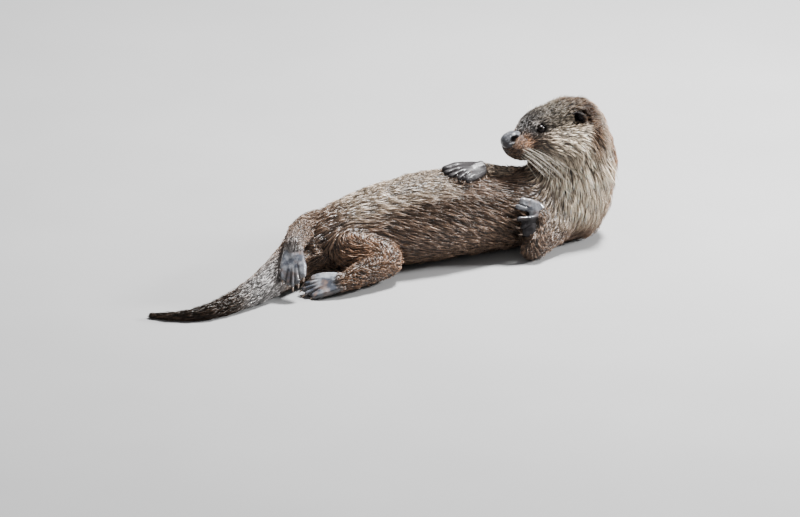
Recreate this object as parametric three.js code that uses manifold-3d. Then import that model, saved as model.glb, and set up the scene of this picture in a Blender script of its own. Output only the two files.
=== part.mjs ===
// A Eurasian otter at life size, lying on its back and half on its left side, with its head raised
// to look along its body. A still model in millimetres, +Z up, on a floor at z = 0, with the spine
// along X and the head at +X.
// Head, neck, trunk and tail are lengths of one body, cast onto its distance field and parted by
// planes. Limbs, paws, ears and eyes are cast onto fields of their own, and cut back where they meet
// what was built before them.
import * as THREE from "three";
import { mergeVertices } from "three/addons/utils/BufferGeometryUtils.js";
import Module from "manifold-3d";

const wasm = await Module();
wasm.setup();

// ---- Driving sizes, in millimetres and degrees ----
const GAP = 0.36; // left between two solids that meet
const FLOOR_SINK = 1.6; // how far resting flesh is pressed flat at the floor
const TRUNK_WIDENING = 1.14; // the trunk's width over its height, as it lies
const HEAD = { at: [183, 4, 149], turn: -5, nod: 5, roll: 6 };
const EYE = { at: [48.5, 20.5, 12], radius: 6 };
const EAR = { at: [-4, 35, 17], width: 10.5, height: 9, thickness: 5.5 };
const NOSE = { at: [85.5, 0, 1], length: 11.5, width: 12, height: 10.5 };
const CHEST_CUT_X = 45; // where the trunk is parted into chest and belly
const TAIL_CUTS = [0.36, 0.7]; // where the tail is parted, as shares of its length
const CLAW = { length: 8, radius: 1.8, droop: 3 };
// Toes: how thick one is at its knuckle and at its tip, how far it bends, and how much a row fans out.
const DIGITS = {
  fore: { radius: 5.1, tip: 4.3, bend: 14, splay: 0.2 },
  hind: { radius: 4.7, tip: 4, bend: 10, splay: 0.1 },
};
const PAW_HALF = 16; // half the width of a spread paw, over its knuckles

const v = (x, y, z) => new THREE.Vector3(x, y, z);
const station = (x, y, z, r) => ({ at: v(x, y, z), r });
const resting = (x, y, r) => station(x, y, r - FLOOR_SINK, r);

// Where each tube of flesh runs, from station to station, with its radius there.
const TAIL = [
  resting(-186, 0, 33),
  resting(-212, -12, 28.5),
  resting(-246, -35, 23.5),
  resting(-288, -62, 18.5),
  resting(-332, -82, 13.8),
  resting(-374, -94, 10.4),
  resting(-410, -86, 7.2),
  resting(-440, -62, 4.6),
];
const TRUNK = [
  resting(-186, 0, 34),
  resting(-165, 0, 40),
  resting(-135, 0, 46),
  resting(-100, 0, 51),
  resting(-50, 0, 55),
  resting(-5, 0, 57),
  resting(45, 0, 53),
  resting(95, 0, 49),
  resting(140, 0, 48.5),
  resting(184, 0, 46.5),
];
const NECK = [
  station(182, 0, 48, 46),
  station(196, 0, 79, 46.5),
  station(204, 1, 106, 45),
  station(195, 3, 134, 41),
];
const LIMBS = {
  right: {
    thigh: [station(-136, 26, 44, 32), station(-168, 28, 50, 25)],
    shank: [station(-168, 28, 50, 23), station(-202, -6, 61, 18), station(-231, -47, 64, 12)],
    upper_arm: [station(160, 36, 56, 27), station(126, 13, 83, 16)],
    forearm: [station(126, 12, 84, 13.5), station(94, -1, 97, 9.5), station(58, -4, 110, 9)],
  },
  left: {
    thigh: [station(-145, -36, 40, 33), station(-110, -60, 30, 27)],
    shank: [station(-110, -62, 29, 25), station(-146, -78, 23, 18), station(-177, -87, 17, 12)],
    upper_arm: [station(156, -30, 38, 30), station(100, -70, 15, 16)],
    forearm: [station(100, -70, 15, 15.5), station(111, -69, 34, 13), station(118, -64, 54, 10.5)],
  },
};
// A paw runs from its wrist or ankle along a first direction, with its toes in a row along a second.
// Its palm is so long, and its toes curl by so many degrees towards the sole. The toes are given from
// the outer one to the thumb: how far across from the paw's middle each stands, and its length.
const pawAt = (wrist, along, across, palm, curl, toes) => ({ wrist, along, across, palm, curl, toes });
const PAWS = {
  right: {
    fore: pawAt(v(58, -4, 111), v(-0.95, -0.27, 0.06), v(0.35, -0.9, -0.22), 30, 2, [
      [-16, 21], [-8, 24], [0, 22], [8, 18], [15, 13],
    ]),
    hind: pawAt(v(-231, -47, 64), v(-0.32, -0.64, -0.7), v(0.89, -0.45, 0.05), 31, 2, [
      [-12, 18], [-6, 24], [0, 25], [6, 22], [12, 15],
    ]),
  },
  left: {
    fore: pawAt(v(118, -64, 54), v(-0.96, -0.06, 0.26), v(0, 0.35, 0.94), 15, 4, [
      [-20, 15], [-13, 17], [-4.5, 20], [8.5, 24], [15.5, 20],
    ]),
    hind: pawAt(v(-177, -87, 19), v(-0.94, 0.3, -0.14), v(-0.2, 0.9, 0.38), 24, 2, [
      [-14, 22], [-7, 28], [0, 29], [7, 26], [14, 18],
    ]),
  },
};

// ---- Distance fields: negative inside, in millimetres ----
const smoothMin = (a, b, k) => {
  const h = Math.max(k - Math.abs(a - b), 0) / k;
  return Math.min(a, b) - h * h * k * 0.25;
};
const join = (k, ...fields) => (p) => fields.reduce((d, field) => smoothMin(d, field(p), k), 1e3);
const carve = (k, field, hollow) => (p) => -smoothMin(-field(p), hollow(p), k);

// A tube of round flesh through the stations, smoothed between them.
function tube(stations, stepsEach = 7) {
  const middle = new THREE.CatmullRomCurve3(stations.map((s) => s.at), false, "catmullrom");
  const radius = new THREE.CatmullRomCurve3(stations.map((s) => v(s.r, 0, 0)), false, "catmullrom");
  const steps = stepsEach * (stations.length - 1);
  const beads = Array.from({ length: steps + 1 }, (_, i) => ({
    at: middle.getPoint(i / steps),
    r: radius.getPoint(i / steps).x,
  }));
  const along = v(0, 0, 0);
  const offset = v(0, 0, 0);
  return (p) => {
    let nearest = Infinity;
    for (let i = 0; i < steps; i++) {
      const a = beads[i];
      const b = beads[i + 1];
      along.subVectors(b.at, a.at);
      offset.subVectors(p, a.at);
      const share = THREE.MathUtils.clamp(offset.dot(along) / along.lengthSq(), 0, 1);
      const d = offset.addScaledVector(along, -share).length() - THREE.MathUtils.lerp(a.r, b.r, share);
      nearest = Math.min(nearest, d);
    }
    return nearest;
  };
}

// The field of a shape that is wider than it is high.
const widened = (field, factor) => (p) => field(v(p.x, p.y / factor, p.z));

// An ellipsoid with its half-sizes along the axes of the frame it is used in.
const ellipsoid = (x, y, z, a, b, c) => (p) => {
  const [dx, dy, dz] = [p.x - x, p.y - y, p.z - z];
  const near = Math.hypot(dx / a, dy / b, dz / c);
  const slope = Math.hypot(dx / (a * a), dy / (b * b), dz / (c * c));
  return slope ? (near * (near - 1)) / slope : -Math.min(a, b, c);
};

// ---- The head, in its own frame: x to the nose, y to its left, z to its crown ----
const headTurn = new THREE.Euler(
  THREE.MathUtils.degToRad(HEAD.roll),
  THREE.MathUtils.degToRad(HEAD.nod),
  THREE.MathUtils.degToRad(180 - HEAD.turn),
  "ZYX",
);
const headFrame = new THREE.Matrix4().makeRotationFromEuler(headTurn).setPosition(...HEAD.at);
const intoHead = headFrame.clone().invert();
const inHead = (field) => (p) => field(p.clone().applyMatrix4(intoHead));
const headPoint = (x, y, z) => v(x, y, z).applyMatrix4(headFrame);
const bothSides = (field) => (p) => field(v(p.x, Math.abs(p.y), p.z));

const skull = join(
  12,
  ellipsoid(-2, 0, -1, 43, 38, 33), // braincase
  ellipsoid(31, 0, 10, 34, 26, 23), // forehead and brow
  bothSides(ellipsoid(47, 15, 9.5, 15, 8, 9)), // brow over each eye
  ellipsoid(66, 0, -5, 27, 18.5, 14), // upper muzzle
  ellipsoid(52, 0, -21, 30, 15, 9), // lower jaw
  bothSides(ellipsoid(20, 19, -15, 34, 22, 21)), // cheeks
  bothSides(ellipsoid(74.5, 10.5, -10.5, 14.5, 12, 10.5)), // whisker pads
);
const eyeSocket = bothSides(ellipsoid(EYE.at[0] + 3, EYE.at[1] + 9, EYE.at[2] - 1, 9, 7, 6));
const headField = inHead(carve(6, skull, eyeSocket));
const trunkField = widened(tube(TRUNK), TRUNK_WIDENING);
const throat = ellipsoid(158, -1, 104, 23, 24, 14); // fills the bend between the jaw and the breast
const neckField = join(14, tube(NECK), throat);
const headAndNeck = join(20, headField, neckField);
const neckAndTrunk = join(26, neckField, trunkField);
const bodyField = join(18, (p) => Math.min(headAndNeck(p), neckAndTrunk(p)), tube(TAIL));

// ---- Casting a closed solid onto a field ----
// Walks from an inside point along a direction to the field's surface, no further than `reach`.
function distanceTo(field, origin, direction, reach) {
  const at = v(0, 0, 0);
  const value = (r) => field(at.copy(origin).addScaledVector(direction, r));
  let [inside, outside] = [0, 0];
  while (value(outside) < 0) {
    inside = outside;
    outside += 0.8;
    if (outside >= reach) return reach;
  }
  for (let i = 0; i < 14; i++) {
    const middle = (inside + outside) / 2;
    if (value(middle) < 0) inside = middle;
    else outside = middle;
  }
  return Math.max(inside, 0.4);
}

// Rings of rays leave the axis at right angles, and fan out round its two ends, which a point closes.
// An end without a fan is flat.
function castGeometry(shape, swell = 0) {
  const { field, axis, across = v(0, 1, 0), rings, sides, fans = [3, 3], reach = 200 } = shape;
  const swollen = (p) => field(p) - swell;
  const rows = [];
  for (let i = fans[0]; i >= 1; i--) rows.push({ t: 0, lean: (-i / (fans[0] + 1)) * 90 });
  for (let i = 0; i <= rings; i++) rows.push({ t: i / rings, lean: 0 });
  for (let i = 1; i <= fans[1]; i++) rows.push({ t: 1, lean: (i / (fans[1] + 1)) * 90 });
  const cast = (t, lean, turn) => {
    const origin = axis.getPointAt(t);
    const ahead = axis.getTangentAt(t);
    const u = across.clone().addScaledVector(ahead, -across.dot(ahead)).normalize();
    const w = ahead.clone().cross(u);
    const spoke = u.multiplyScalar(Math.cos(turn)).addScaledVector(w, Math.sin(turn));
    const angle = THREE.MathUtils.degToRad(lean);
    const direction = spoke.multiplyScalar(Math.cos(angle)).addScaledVector(ahead, Math.sin(angle));
    return origin.addScaledVector(direction, distanceTo(swollen, origin, direction, reach + swell));
  };
  const points = [fans[0] ? cast(0, -90, 0) : axis.getPointAt(0)];
  for (const { t, lean } of rows)
    for (let j = 0; j < sides; j++) points.push(cast(t, lean, (j / sides) * 2 * Math.PI));
  points.push(fans[1] ? cast(1, 90, 0) : axis.getPointAt(1));
  const last = points.length - 1;
  const at = (row, j) => 1 + row * sides + (j % sides);
  const faces = [];
  for (let j = 0; j < sides; j++) {
    faces.push(0, at(0, j + 1), at(0, j));
    faces.push(at(rows.length - 1, j), at(rows.length - 1, j + 1), last);
    for (let row = 0; row < rows.length - 1; row++) {
      faces.push(at(row, j), at(row, j + 1), at(row + 1, j + 1));
      faces.push(at(row, j), at(row + 1, j + 1), at(row + 1, j));
    }
  }
  return new THREE.BufferGeometry().setFromPoints(points).setIndex(faces);
}

// ---- Solids: joins and cuts ----
function solidOf(geometry) {
  const bare = geometry.index ? geometry.toNonIndexed() : geometry.clone();
  bare.deleteAttribute("normal");
  bare.deleteAttribute("uv");
  const merged = mergeVertices(bare, 1e-3);
  return new wasm.Manifold(
    new wasm.Mesh({
      numProp: 3,
      vertProperties: new Float32Array(merged.attributes.position.array),
      triVerts: new Uint32Array(merged.index.array),
    }),
  );
}

function geometryOf(solid) {
  const mesh = solid.getMesh();
  const points = new Float32Array(mesh.numVert * 3);
  for (let i = 0; i < mesh.numVert; i++)
    points.set(mesh.vertProperties.subarray(i * mesh.numProp, i * mesh.numProp + 3), i * 3);
  return new THREE.BufferGeometry()
    .setAttribute("position", new THREE.BufferAttribute(points, 3))
    .setIndex(new THREE.BufferAttribute(new Uint32Array(mesh.triVerts), 1));
}

const largestOf = (solid) => solid.decompose().reduce((a, b) => (a.volume() > b.volume() ? a : b));

const FAR = 2000; // the side of a box that stands for half of space
// All that lies beyond a plane through `point`, on the side that `normal` points to.
function beyond(point, normal) {
  const turn = new THREE.Quaternion().setFromUnitVectors(v(0, 0, 1), normal.clone().normalize());
  const box = new THREE.BoxGeometry(FAR, FAR, FAR).translate(0, 0, FAR / 2);
  return solidOf(box.applyQuaternion(turn).translate(point.x, point.y, point.z));
}
const underfloor = beyond(v(0, 0, 0), v(0, 0, -1));

// ---- Paws ----
// Toes lie in a row across the palm's end and bend towards the sole.
function pawPlan(paw, digit) {
  const along = paw.along.clone().normalize();
  const across = paw.across.clone().addScaledVector(along, -paw.across.dot(along)).normalize();
  const back = across.clone().cross(along);
  if (back.z < 0) back.negate();
  const knuckles = paw.wrist.clone().addScaledVector(along, paw.palm);
  const bendDown = (direction, degrees) => {
    const angle = THREE.MathUtils.degToRad(degrees);
    const bent = direction.clone().multiplyScalar(Math.cos(angle));
    return bent.addScaledVector(back, -Math.sin(angle)).normalize();
  };
  const toes = paw.toes.map(([aside, length]) => {
    const place = aside / PAW_HALF; // about -1 to 1 across the paw
    const outward = along.clone().addScaledVector(across, place * digit.splay).normalize();
    const root = knuckles.clone().addScaledVector(across, aside);
    root.addScaledVector(along, -Math.abs(place) * 4);
    const heel = root.clone().addScaledVector(along, -0.75 * paw.palm);
    heel.addScaledVector(across, -0.45 * aside);
    const middle = root.clone().addScaledVector(bendDown(outward, paw.curl), length * 0.55);
    const tip = middle.clone().addScaledVector(bendDown(outward, paw.curl + digit.bend), length * 0.45);
    const claw = bendDown(outward, paw.curl + 1.6 * digit.bend);
    return { heel, root, middle, tip, claw, back, r: digit.radius, rTip: digit.tip };
  });
  return { toes, knuckles, along, across, back };
}

function pawShapes(paw, digit) {
  const plan = pawPlan(paw, digit);
  const bones = plan.toes.map((toe) =>
    tube([
      { at: toe.heel, r: toe.r * 0.95 },
      { at: toe.root, r: toe.r * 1.05 },
      { at: toe.middle, r: toe.r * 0.92 },
      { at: toe.tip, r: toe.rTip },
    ], 3),
  );
  const palmEnd = paw.wrist.clone().addScaledVector(plan.along, paw.palm * 0.6);
  const wrist = {
    field: tube([{ at: paw.wrist, r: 10.5 }, { at: palmEnd, r: 8 }], 2),
    axis: new THREE.LineCurve3(paw.wrist, palmEnd),
    across: plan.across,
    rings: 1,
    sides: 7,
    fans: [0, 1],
  };
  const flesh = join(2.5, wrist.field, ...bones);
  const toes = plan.toes.map((toe) => ({
    field: flesh,
    axis: new THREE.CatmullRomCurve3([toe.heel, toe.root, toe.middle, toe.tip]),
    across: plan.across,
    rings: 3,
    sides: 6,
    fans: [0, 1],
    reach: toe.r * 1.35,
  }));
  return [wrist, ...toes];
}

const pawSolid = (paw, digit, swell = 0) =>
  pawShapes(paw, digit)
    .map((shape) => solidOf(castGeometry(shape, swell)))
    .reduce((a, b) => a.add(b));

// A short curved claw: a tapering horn that droops towards its point.
function clawShape(toe) {
  const side = toe.back.clone().cross(toe.claw).normalize();
  const down = side.clone().cross(toe.claw).normalize();
  if (down.dot(toe.back) > 0) down.negate();
  const root = toe.tip.clone().addScaledVector(toe.claw, toe.rTip * 0.4);
  root.addScaledVector(toe.back, toe.rTip * 0.3);
  const along = (share) => {
    const straight = root.clone().addScaledVector(toe.claw, CLAW.length * share);
    return straight.addScaledVector(down, CLAW.droop * share * share);
  };
  const axis = new THREE.CatmullRomCurve3([along(0), along(0.5), along(1)]);
  const horn = tube([
    { at: along(0), r: CLAW.radius },
    { at: along(0.5), r: CLAW.radius * 0.8 },
    { at: along(1), r: CLAW.radius * 0.3 },
  ], 2);
  return { field: horn, axis, across: side, rings: 2, sides: 4, fans: [0, 0], reach: 5 };
}

// ---- Materials ----
const material = (color, roughness) =>
  new THREE.MeshStandardMaterial({ color, roughness, metalness: 0 });
const FUR = material(0x6f5d4f, 0.85);
const PALE_FUR = material(0x9a8a78, 0.85);
const LEATHER = material(0x5f6064, 0.55);
const NOSE_LEATHER = material(0x2f3136, 0.45);
const HORN = material(0xb59d88, 0.4);
const EYE_GLOSS = material(0x14100e, 0.08);

// ---- Building, in order ----
const group = new THREE.Group();
const built = []; // everything placed so far, each a gap's width larger than it is

// Cuts a solid back from the floor and from what was placed before it.
function place(solid, swollen) {
  let cut = solid.subtract(underfloor);
  for (const earlier of built) cut = cut.subtract(earlier);
  built.push(swollen);
  return largestOf(cut);
}

function show(name, solid, finish) {
  const mesh = new THREE.Mesh(geometryOf(solid), finish);
  mesh.name = name;
  group.add(mesh);
}

const cast = (shape) => place(solidOf(castGeometry(shape)), solidOf(castGeometry(shape, GAP)));

// Parts a solid along planes given as {point, normal}, and names the pieces from first to last.
function showParted(solid, cuts, names, finish) {
  let rest = solid;
  cuts.forEach(({ point, normal }, i) => {
    const step = normal.clone().normalize().multiplyScalar(GAP / 2);
    show(names[i], largestOf(rest.subtract(beyond(point.clone().sub(step), normal))), finish);
    rest = rest.subtract(beyond(point.clone().add(step), normal.clone().negate()));
  });
  show(names[cuts.length], largestOf(rest), finish);
}

// Eyes, set in the head on both sides.
for (const [side, y] of [["left", 1], ["right", -1]]) {
  const centre = headPoint(EYE.at[0], y * EYE.at[1], EYE.at[2]);
  const globe = (radius) => {
    const sphere = new THREE.SphereGeometry(radius, 10, 6);
    return solidOf(sphere.translate(centre.x, centre.y, centre.z));
  };
  show(`eye_${side}`, place(globe(EYE.radius), globe(EYE.radius + GAP)), EYE_GLOSS);
}

// The bare nose, with its two comma-shaped nostrils.
const noseField = inHead(
  carve(
    1.5,
    join(
      4,
      ellipsoid(NOSE.at[0], 0, NOSE.at[2], NOSE.length, NOSE.width, NOSE.height),
      ellipsoid(NOSE.at[0] - 7, 0, NOSE.at[2] + 2.2, NOSE.length, NOSE.width - 1.5, 9.6),
      bothSides(ellipsoid(NOSE.at[0] - 1, 6, NOSE.at[2] - 1.5, 8, 6, 6.5)),
    ),
    bothSides(ellipsoid(NOSE.at[0] - 2, 11, NOSE.at[2] + 5, 4.4, 3.4, 2.8)),
  ),
);
const nose = {
  field: noseField,
  axis: new THREE.LineCurve3(
    headPoint(NOSE.at[0] - 7, 0, NOSE.at[2] + 1),
    headPoint(NOSE.at[0] + 2, 0, NOSE.at[2]),
  ),
  rings: 2,
  sides: 16,
  fans: [1, 4],
  reach: 16,
};
show("nose", cast(nose), NOSE_LEATHER);

// The body's four lengths. Each is cast a margin past the planes that bound it, and then cut at them.
const curve = (...points) => new THREE.CatmullRomCurve3(points);
const NAPE = { point: v(198, 0, 112), normal: v(-0.2, 0, 0.98).normalize() };
const BREAST = { point: v(172, 0, 56), normal: v(0.8, 0, 0.6).normalize() };
const RUMP = { point: v(-192, -3, 33), normal: v(-0.92, -0.39, 0).normalize() };
const turned = ({ point, normal }) => ({ point, normal: normal.clone().negate() });
const MARGIN = 15;
const LENGTHS = {
  head: {
    axis: curve(headPoint(-8, 0, -3), headPoint(30, 0, -5), headPoint(78, 0, -8)),
    rings: 11,
    sides: 24,
    fans: [4, 3],
    ends: [turned(NAPE)],
  },
  neck: {
    axis: curve(v(184, 0, 68), v(195, 0, 86), v(200, 1, 104)),
    rings: 4,
    sides: 24,
    fans: [2, 3],
    ends: [NAPE, turned(BREAST)],
  },
  trunk: {
    axis: curve(v(-168, 0, 43), v(-110, 0, 51), v(-20, 0, 56), v(60, 0, 50), v(158, 0, 49)),
    rings: 12,
    sides: 20,
    fans: [3, 4],
    ends: [BREAST, RUMP],
  },
  tail: {
    axis: curve(v(-196, -4, 33), ...TAIL.slice(1).map((s) => s.at)),
    rings: 11,
    sides: 12,
    fans: [1, 1],
    ends: [turned(RUMP)],
  },
};

// The solid of one length, grown by `swell`.
function bodySolid({ ends, ...length }, swell) {
  const past = ({ point, normal }, p) => p.clone().sub(point).dot(normal);
  const field = (p) => Math.max(bodyField(p), ...ends.map((end) => past(end, p) - MARGIN));
  let solid = solidOf(castGeometry({ ...length, field }, swell));
  for (const { point, normal } of ends)
    solid = solid.subtract(beyond(point.clone().addScaledVector(normal, swell - GAP / 2), normal));
  return solid;
}

const faceParts = [...built];
const solids = {};
const swollen = {};
for (const [name, length] of Object.entries(LENGTHS)) {
  const whole = bodySolid(length, 0).subtract(underfloor);
  solids[name] = largestOf(faceParts.reduce((rest, part) => rest.subtract(part), whole));
  swollen[name] = bodySolid(length, GAP);
}
built.push(...Object.values(swollen));
solids.trunk = largestOf(solids.trunk.subtract(swollen.head)); // the throat overhangs the breast
show("head", solids.head, FUR);
show("neck", solids.neck, PALE_FUR);
const trunkCut = { point: v(CHEST_CUT_X, 0, 0), normal: v(1, 0, 0) };
showParted(solids.trunk, [trunkCut], ["belly", "chest"], FUR);
const tailCuts = TAIL_CUTS.map((t) => ({
  point: LENGTHS.tail.axis.getPointAt(t),
  normal: LENGTHS.tail.axis.getTangentAt(t),
}));
showParted(solids.tail, tailCuts, ["tail_base", "tail_middle", "tail_tip"], FUR);

// Limbs, from the body outwards.
for (const [side, limb] of Object.entries(LIMBS)) {
  for (const [name, stations] of Object.entries(limb)) {
    const axis = curve(...stations.map((s) => s.at));
    const shape = { field: tube(stations), axis, rings: 4, sides: 10, fans: [1, 2] };
    show(`${name}_${side}`, cast(shape), FUR);
  }
  for (const [end, paw] of Object.entries(PAWS[side])) {
    const digit = DIGITS[end];
    show(`${end}paw_${side}`, place(pawSolid(paw, digit), pawSolid(paw, digit, GAP)), LEATHER);
    pawPlan(paw, digit).toes.forEach((toe, i) => {
      show(`claw_${end}_${side}_${i + 1}`, cast(clawShape(toe)), HORN);
    });
  }
}

// Ears: shallow cups that open forwards and outwards.
for (const [side, y] of [["left", 1], ["right", -1]]) {
  const cup = (share, forward, out) => {
    const shape = new THREE.SphereGeometry(1, 9, 6);
    shape.scale(EAR.thickness * share, EAR.width * share, EAR.height * share);
    shape.rotateZ(THREE.MathUtils.degToRad(y * 28)).rotateX(THREE.MathUtils.degToRad(-y * 34));
    shape.translate(EAR.at[0] + forward, y * (EAR.at[1] + out), EAR.at[2]).applyMatrix4(headFrame);
    return solidOf(shape);
  };
  const ear = cup(1, 0, 0).subtract(cup(0.72, 4.4, 1.6));
  show(`ear_${side}`, place(ear, cup(1.04, 0, 0)), FUR);
}

// The origin: under the middle of the whole model's box.
const box = new THREE.Box3().setFromObject(group);
group.position.set(-(box.min.x + box.max.x) / 2, -(box.min.y + box.max.y) / 2, 0);

export default group;
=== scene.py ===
"""Skin, coat, eyes, nose, claws and whiskers of a life-size Eurasian otter that lies on its back.

Lengths in the tables are millimetres in the model's own axes: the spine along X, the head at +X,
the floor at z = 0. Meshes are in metres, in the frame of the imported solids.
"""

import math

import bmesh
import bpy
import numpy as np
from mathutils import Euler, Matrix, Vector
from mathutils.bvhtree import BVHTree
from mathutils.kdtree import KDTree


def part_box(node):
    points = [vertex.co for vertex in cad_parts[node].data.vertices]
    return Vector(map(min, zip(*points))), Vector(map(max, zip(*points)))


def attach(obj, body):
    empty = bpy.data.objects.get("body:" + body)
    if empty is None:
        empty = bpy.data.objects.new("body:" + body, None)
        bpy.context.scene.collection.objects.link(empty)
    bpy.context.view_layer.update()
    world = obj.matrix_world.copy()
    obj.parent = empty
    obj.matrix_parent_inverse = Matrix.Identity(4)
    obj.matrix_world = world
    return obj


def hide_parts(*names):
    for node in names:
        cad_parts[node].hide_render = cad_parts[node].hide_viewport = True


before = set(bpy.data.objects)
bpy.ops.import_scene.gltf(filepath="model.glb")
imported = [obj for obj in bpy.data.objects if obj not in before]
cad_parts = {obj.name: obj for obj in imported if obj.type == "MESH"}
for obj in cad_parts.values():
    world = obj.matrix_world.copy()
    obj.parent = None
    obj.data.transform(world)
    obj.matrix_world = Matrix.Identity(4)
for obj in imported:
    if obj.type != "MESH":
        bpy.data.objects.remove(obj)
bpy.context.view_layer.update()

bl_info = {
    "name": "Eurasian Otter",
    "version": (1, 0, 0),
    "blender": (4, 5, 0),
    "location": "3D View > Sidebar > Otter",
    "description": "Skin, coat, eyes, nose, claws and whiskers of a reclining otter",
    "category": "Object",
}

MM = 0.001
EYE_IN_HEAD = (48.5, 20.5, 12.0)
HEAD_TURN = Euler((math.radians(6), math.radians(5), math.radians(185)), "XYZ").to_matrix()
HEAD_AT = Vector((183.0, 4.0, 149.0))


def middle_of(node):
    low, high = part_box(node)
    return (low + high) / 2


# What takes a place in millimetres in the model's axes into the frame: the left eye fixes it.
SHIFT = middle_of("eye_left") - (HEAD_AT + HEAD_TURN @ Vector(EYE_IN_HEAD)) * MM
EYES = {side: middle_of(f"eye_{side}") for side in ("left", "right")}
FLESH = [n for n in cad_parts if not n.startswith(("eye", "nose", "claw"))]


def head_to_model(points):
    """Places in the head's axes (nose, left, crown), in the model's, both in millimetres."""
    points = np.asarray(points, float).reshape(-1, 3)
    return points @ np.array(HEAD_TURN).T + np.array(HEAD_AT)


def from_head(points):
    """Places in millimetres in the head's axes, in metres in the frame."""
    return head_to_model(points) * MM + np.array(SHIFT)


def to_model(points):
    """Places in metres in the frame, in millimetres in the model's axes."""
    return (points - np.array(SHIFT)) / MM


def to_head(points):
    """Places in metres in the frame, in millimetres in the head's axes."""
    return (to_model(points) - np.array(HEAD_AT)) @ np.array(HEAD_TURN)


def fold(head):
    """Places in the head's axes, with the right side of the head laid over the left."""
    return np.stack([head[:, 0], np.abs(head[:, 1]), head[:, 2]], axis=1)


# ---- The lines that flesh and hair follow, each from the nose or the body outwards ----
# A station is a place and the radius of the flesh there.
HEAD_LINE = [(92, 0, -4, 12), (70, 0, -6, 19), (45, 0, -5, 27), (20, 0, -4, 34), (-8, 0, -4, 38)]
BODY_LINE = [
    (200, 1, 114, 44),
    (198, 0, 90, 47),
    (186, 0, 62, 47),
    (160, 0, 49, 48),
    (135, 0, 47, 49),
    (95, 0, 47, 49),
    (45, 0, 51, 53),
    (-5, 0, 55, 57),
    (-50, 0, 53, 55),
    (-100, 0, 49, 51),
    (-135, 0, 44, 46),
    (-165, 0, 38, 40),
    (-186, 0, 32, 34),
    (-212, -12, 27, 28.5),
    (-246, -35, 22, 23.5),
    (-288, -62, 17, 18.5),
    (-332, -82, 12, 13.8),
    (-374, -94, 9, 10.4),
    (-410, -86, 6, 7.2),
    (-440, -62, 3.5, 4.6),
]
LIMB_LINES = {
    "hind_right": [
        (-130, 20, 44, 32),
        (-168, 28, 50, 24),
        (-202, -6, 61, 18),
        (-231, -47, 64, 12),
        (-252, -88, 20, 14),
    ],
    "fore_right": [
        (162, 38, 50, 27),
        (126, 13, 83, 15),
        (94, -1, 97, 10),
        (58, -4, 110, 9),
        (8, -18, 114, 14),
    ],
    "hind_left": [
        (-150, -30, 42, 33),
        (-112, -60, 30, 25),
        (-146, -78, 23, 18),
        (-177, -87, 18, 12),
        (-225, -72, 11, 14),
    ],
    "fore_left": [
        (160, -26, 40, 30),
        (104, -69, 16, 15),
        (111, -69, 34, 13),
        (118, -64, 54, 10),
        (82, -66, 63, 14),
    ],
}

# Lines on the left side of the head, in its own axes: from the middle of the mouth to its corner,
# over the ear's rim from front to back, down the fold behind the cheek, down the clefts of the lip
# and the nose, and back along the nostril. EAR_HOLE is the middle of the ear's hollow.
MOUTH = [
    (81, 0, -15),
    (80, 7, -19.5),
    (72, 15, -22),
    (60, 17.5, -20),
    (48, 20, -16.5),
    (40, 23, -14),
]
EAR_RIM = [(-6, 25.5, 26), (-13, 27, 24.5), (-17.5, 30, 20), (-18.5, 34, 12.5), (-17.5, 36.5, 6.5)]
EAR_CREASE = [(-13, 36, 10), (-14, 36.5, 3), (-13, 37, -5), (-10, 36, -13)]
EAR_HOLE = (-8.0, 32.0, 17.3)
LIP_CLEFT = [(92, 0, -8), (86, 0, -15)]
NOSE_CLEFT = [(99, 0, 4), (98, 0, -3), (93, 0, -9)]
NOSTRIL = [(88.5, 9.5, 2), (85, 10.5, 4.3), (80, 10.5, 5.5)]


def sampled(line, step=5.0):
    """Points along a line of stations every few millimetres: places, directions and radii."""
    line = np.asarray(line, float)
    lengths = np.linalg.norm(np.diff(line[:, :3], axis=0), axis=1)
    reach = np.concatenate([[0], np.cumsum(lengths)])
    at = np.linspace(0, reach[-1], max(int(reach[-1] / step), 2))
    out = np.stack([np.interp(at, reach, line[:, k]) for k in range(4)], axis=1)
    ahead = np.gradient(out[:, :3], axis=0)
    return out[:, :3], ahead / np.linalg.norm(ahead, axis=1)[:, None], out[:, 3]


def distance_to_line(points, line):
    """The distance from each point to a line through a few places, and the share along it."""
    best = np.full(len(points), np.inf)
    share = np.zeros(len(points))
    line = np.asarray(line, float)
    for i in range(len(line) - 1):
        along = line[i + 1] - line[i]
        t = np.clip((points - line[i]) @ along / (along @ along), 0, 1)
        away = np.linalg.norm(points - line[i] - t[:, None] * along, axis=1)
        closer = away < best
        best = np.where(closer, away, best)
        share = np.where(closer, (i + t) / (len(line) - 1), share)
    return best, share


def unit(vectors):
    return vectors / np.maximum(np.linalg.norm(vectors, axis=-1, keepdims=True), 1e-12)


def along_surface(vectors, normals):
    """Vectors without the part of them that leaves the surface."""
    return vectors - normals * np.sum(vectors * normals, axis=1, keepdims=True)


def strongest(*masks):
    """The largest of several masks at each place."""
    return np.maximum.reduce(masks)


def ramp(x, low, high):
    """0 below low, 1 above high, and smooth between them. Low may be the larger."""
    t = np.clip((x - low) / (high - low), 0, 1)
    return t * t * (3 - 2 * t)


def hump(away, width):
    """1 where away is 0, falling as a bell on both sides of it."""
    return np.exp(-((away / width) ** 2))


def blob(points, centre, sizes):
    """1 at a centre, falling smoothly to 0 at an ellipsoid's surface."""
    away = np.linalg.norm((points - np.asarray(centre, float)) / np.asarray(sizes, float), axis=1)
    return ramp(away, 1.0, 0.35)


# ---- Meshes ----
def select_only(obj):
    bpy.ops.object.select_all(action="DESELECT")
    obj.select_set(True)
    bpy.context.view_layer.objects.active = obj


def add_object(name, mesh):
    old = bpy.data.objects.get(name)
    if old:
        bpy.data.objects.remove(old)
    obj = bpy.data.objects.new(name, mesh)
    bpy.context.scene.collection.objects.link(obj)
    return obj


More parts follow.
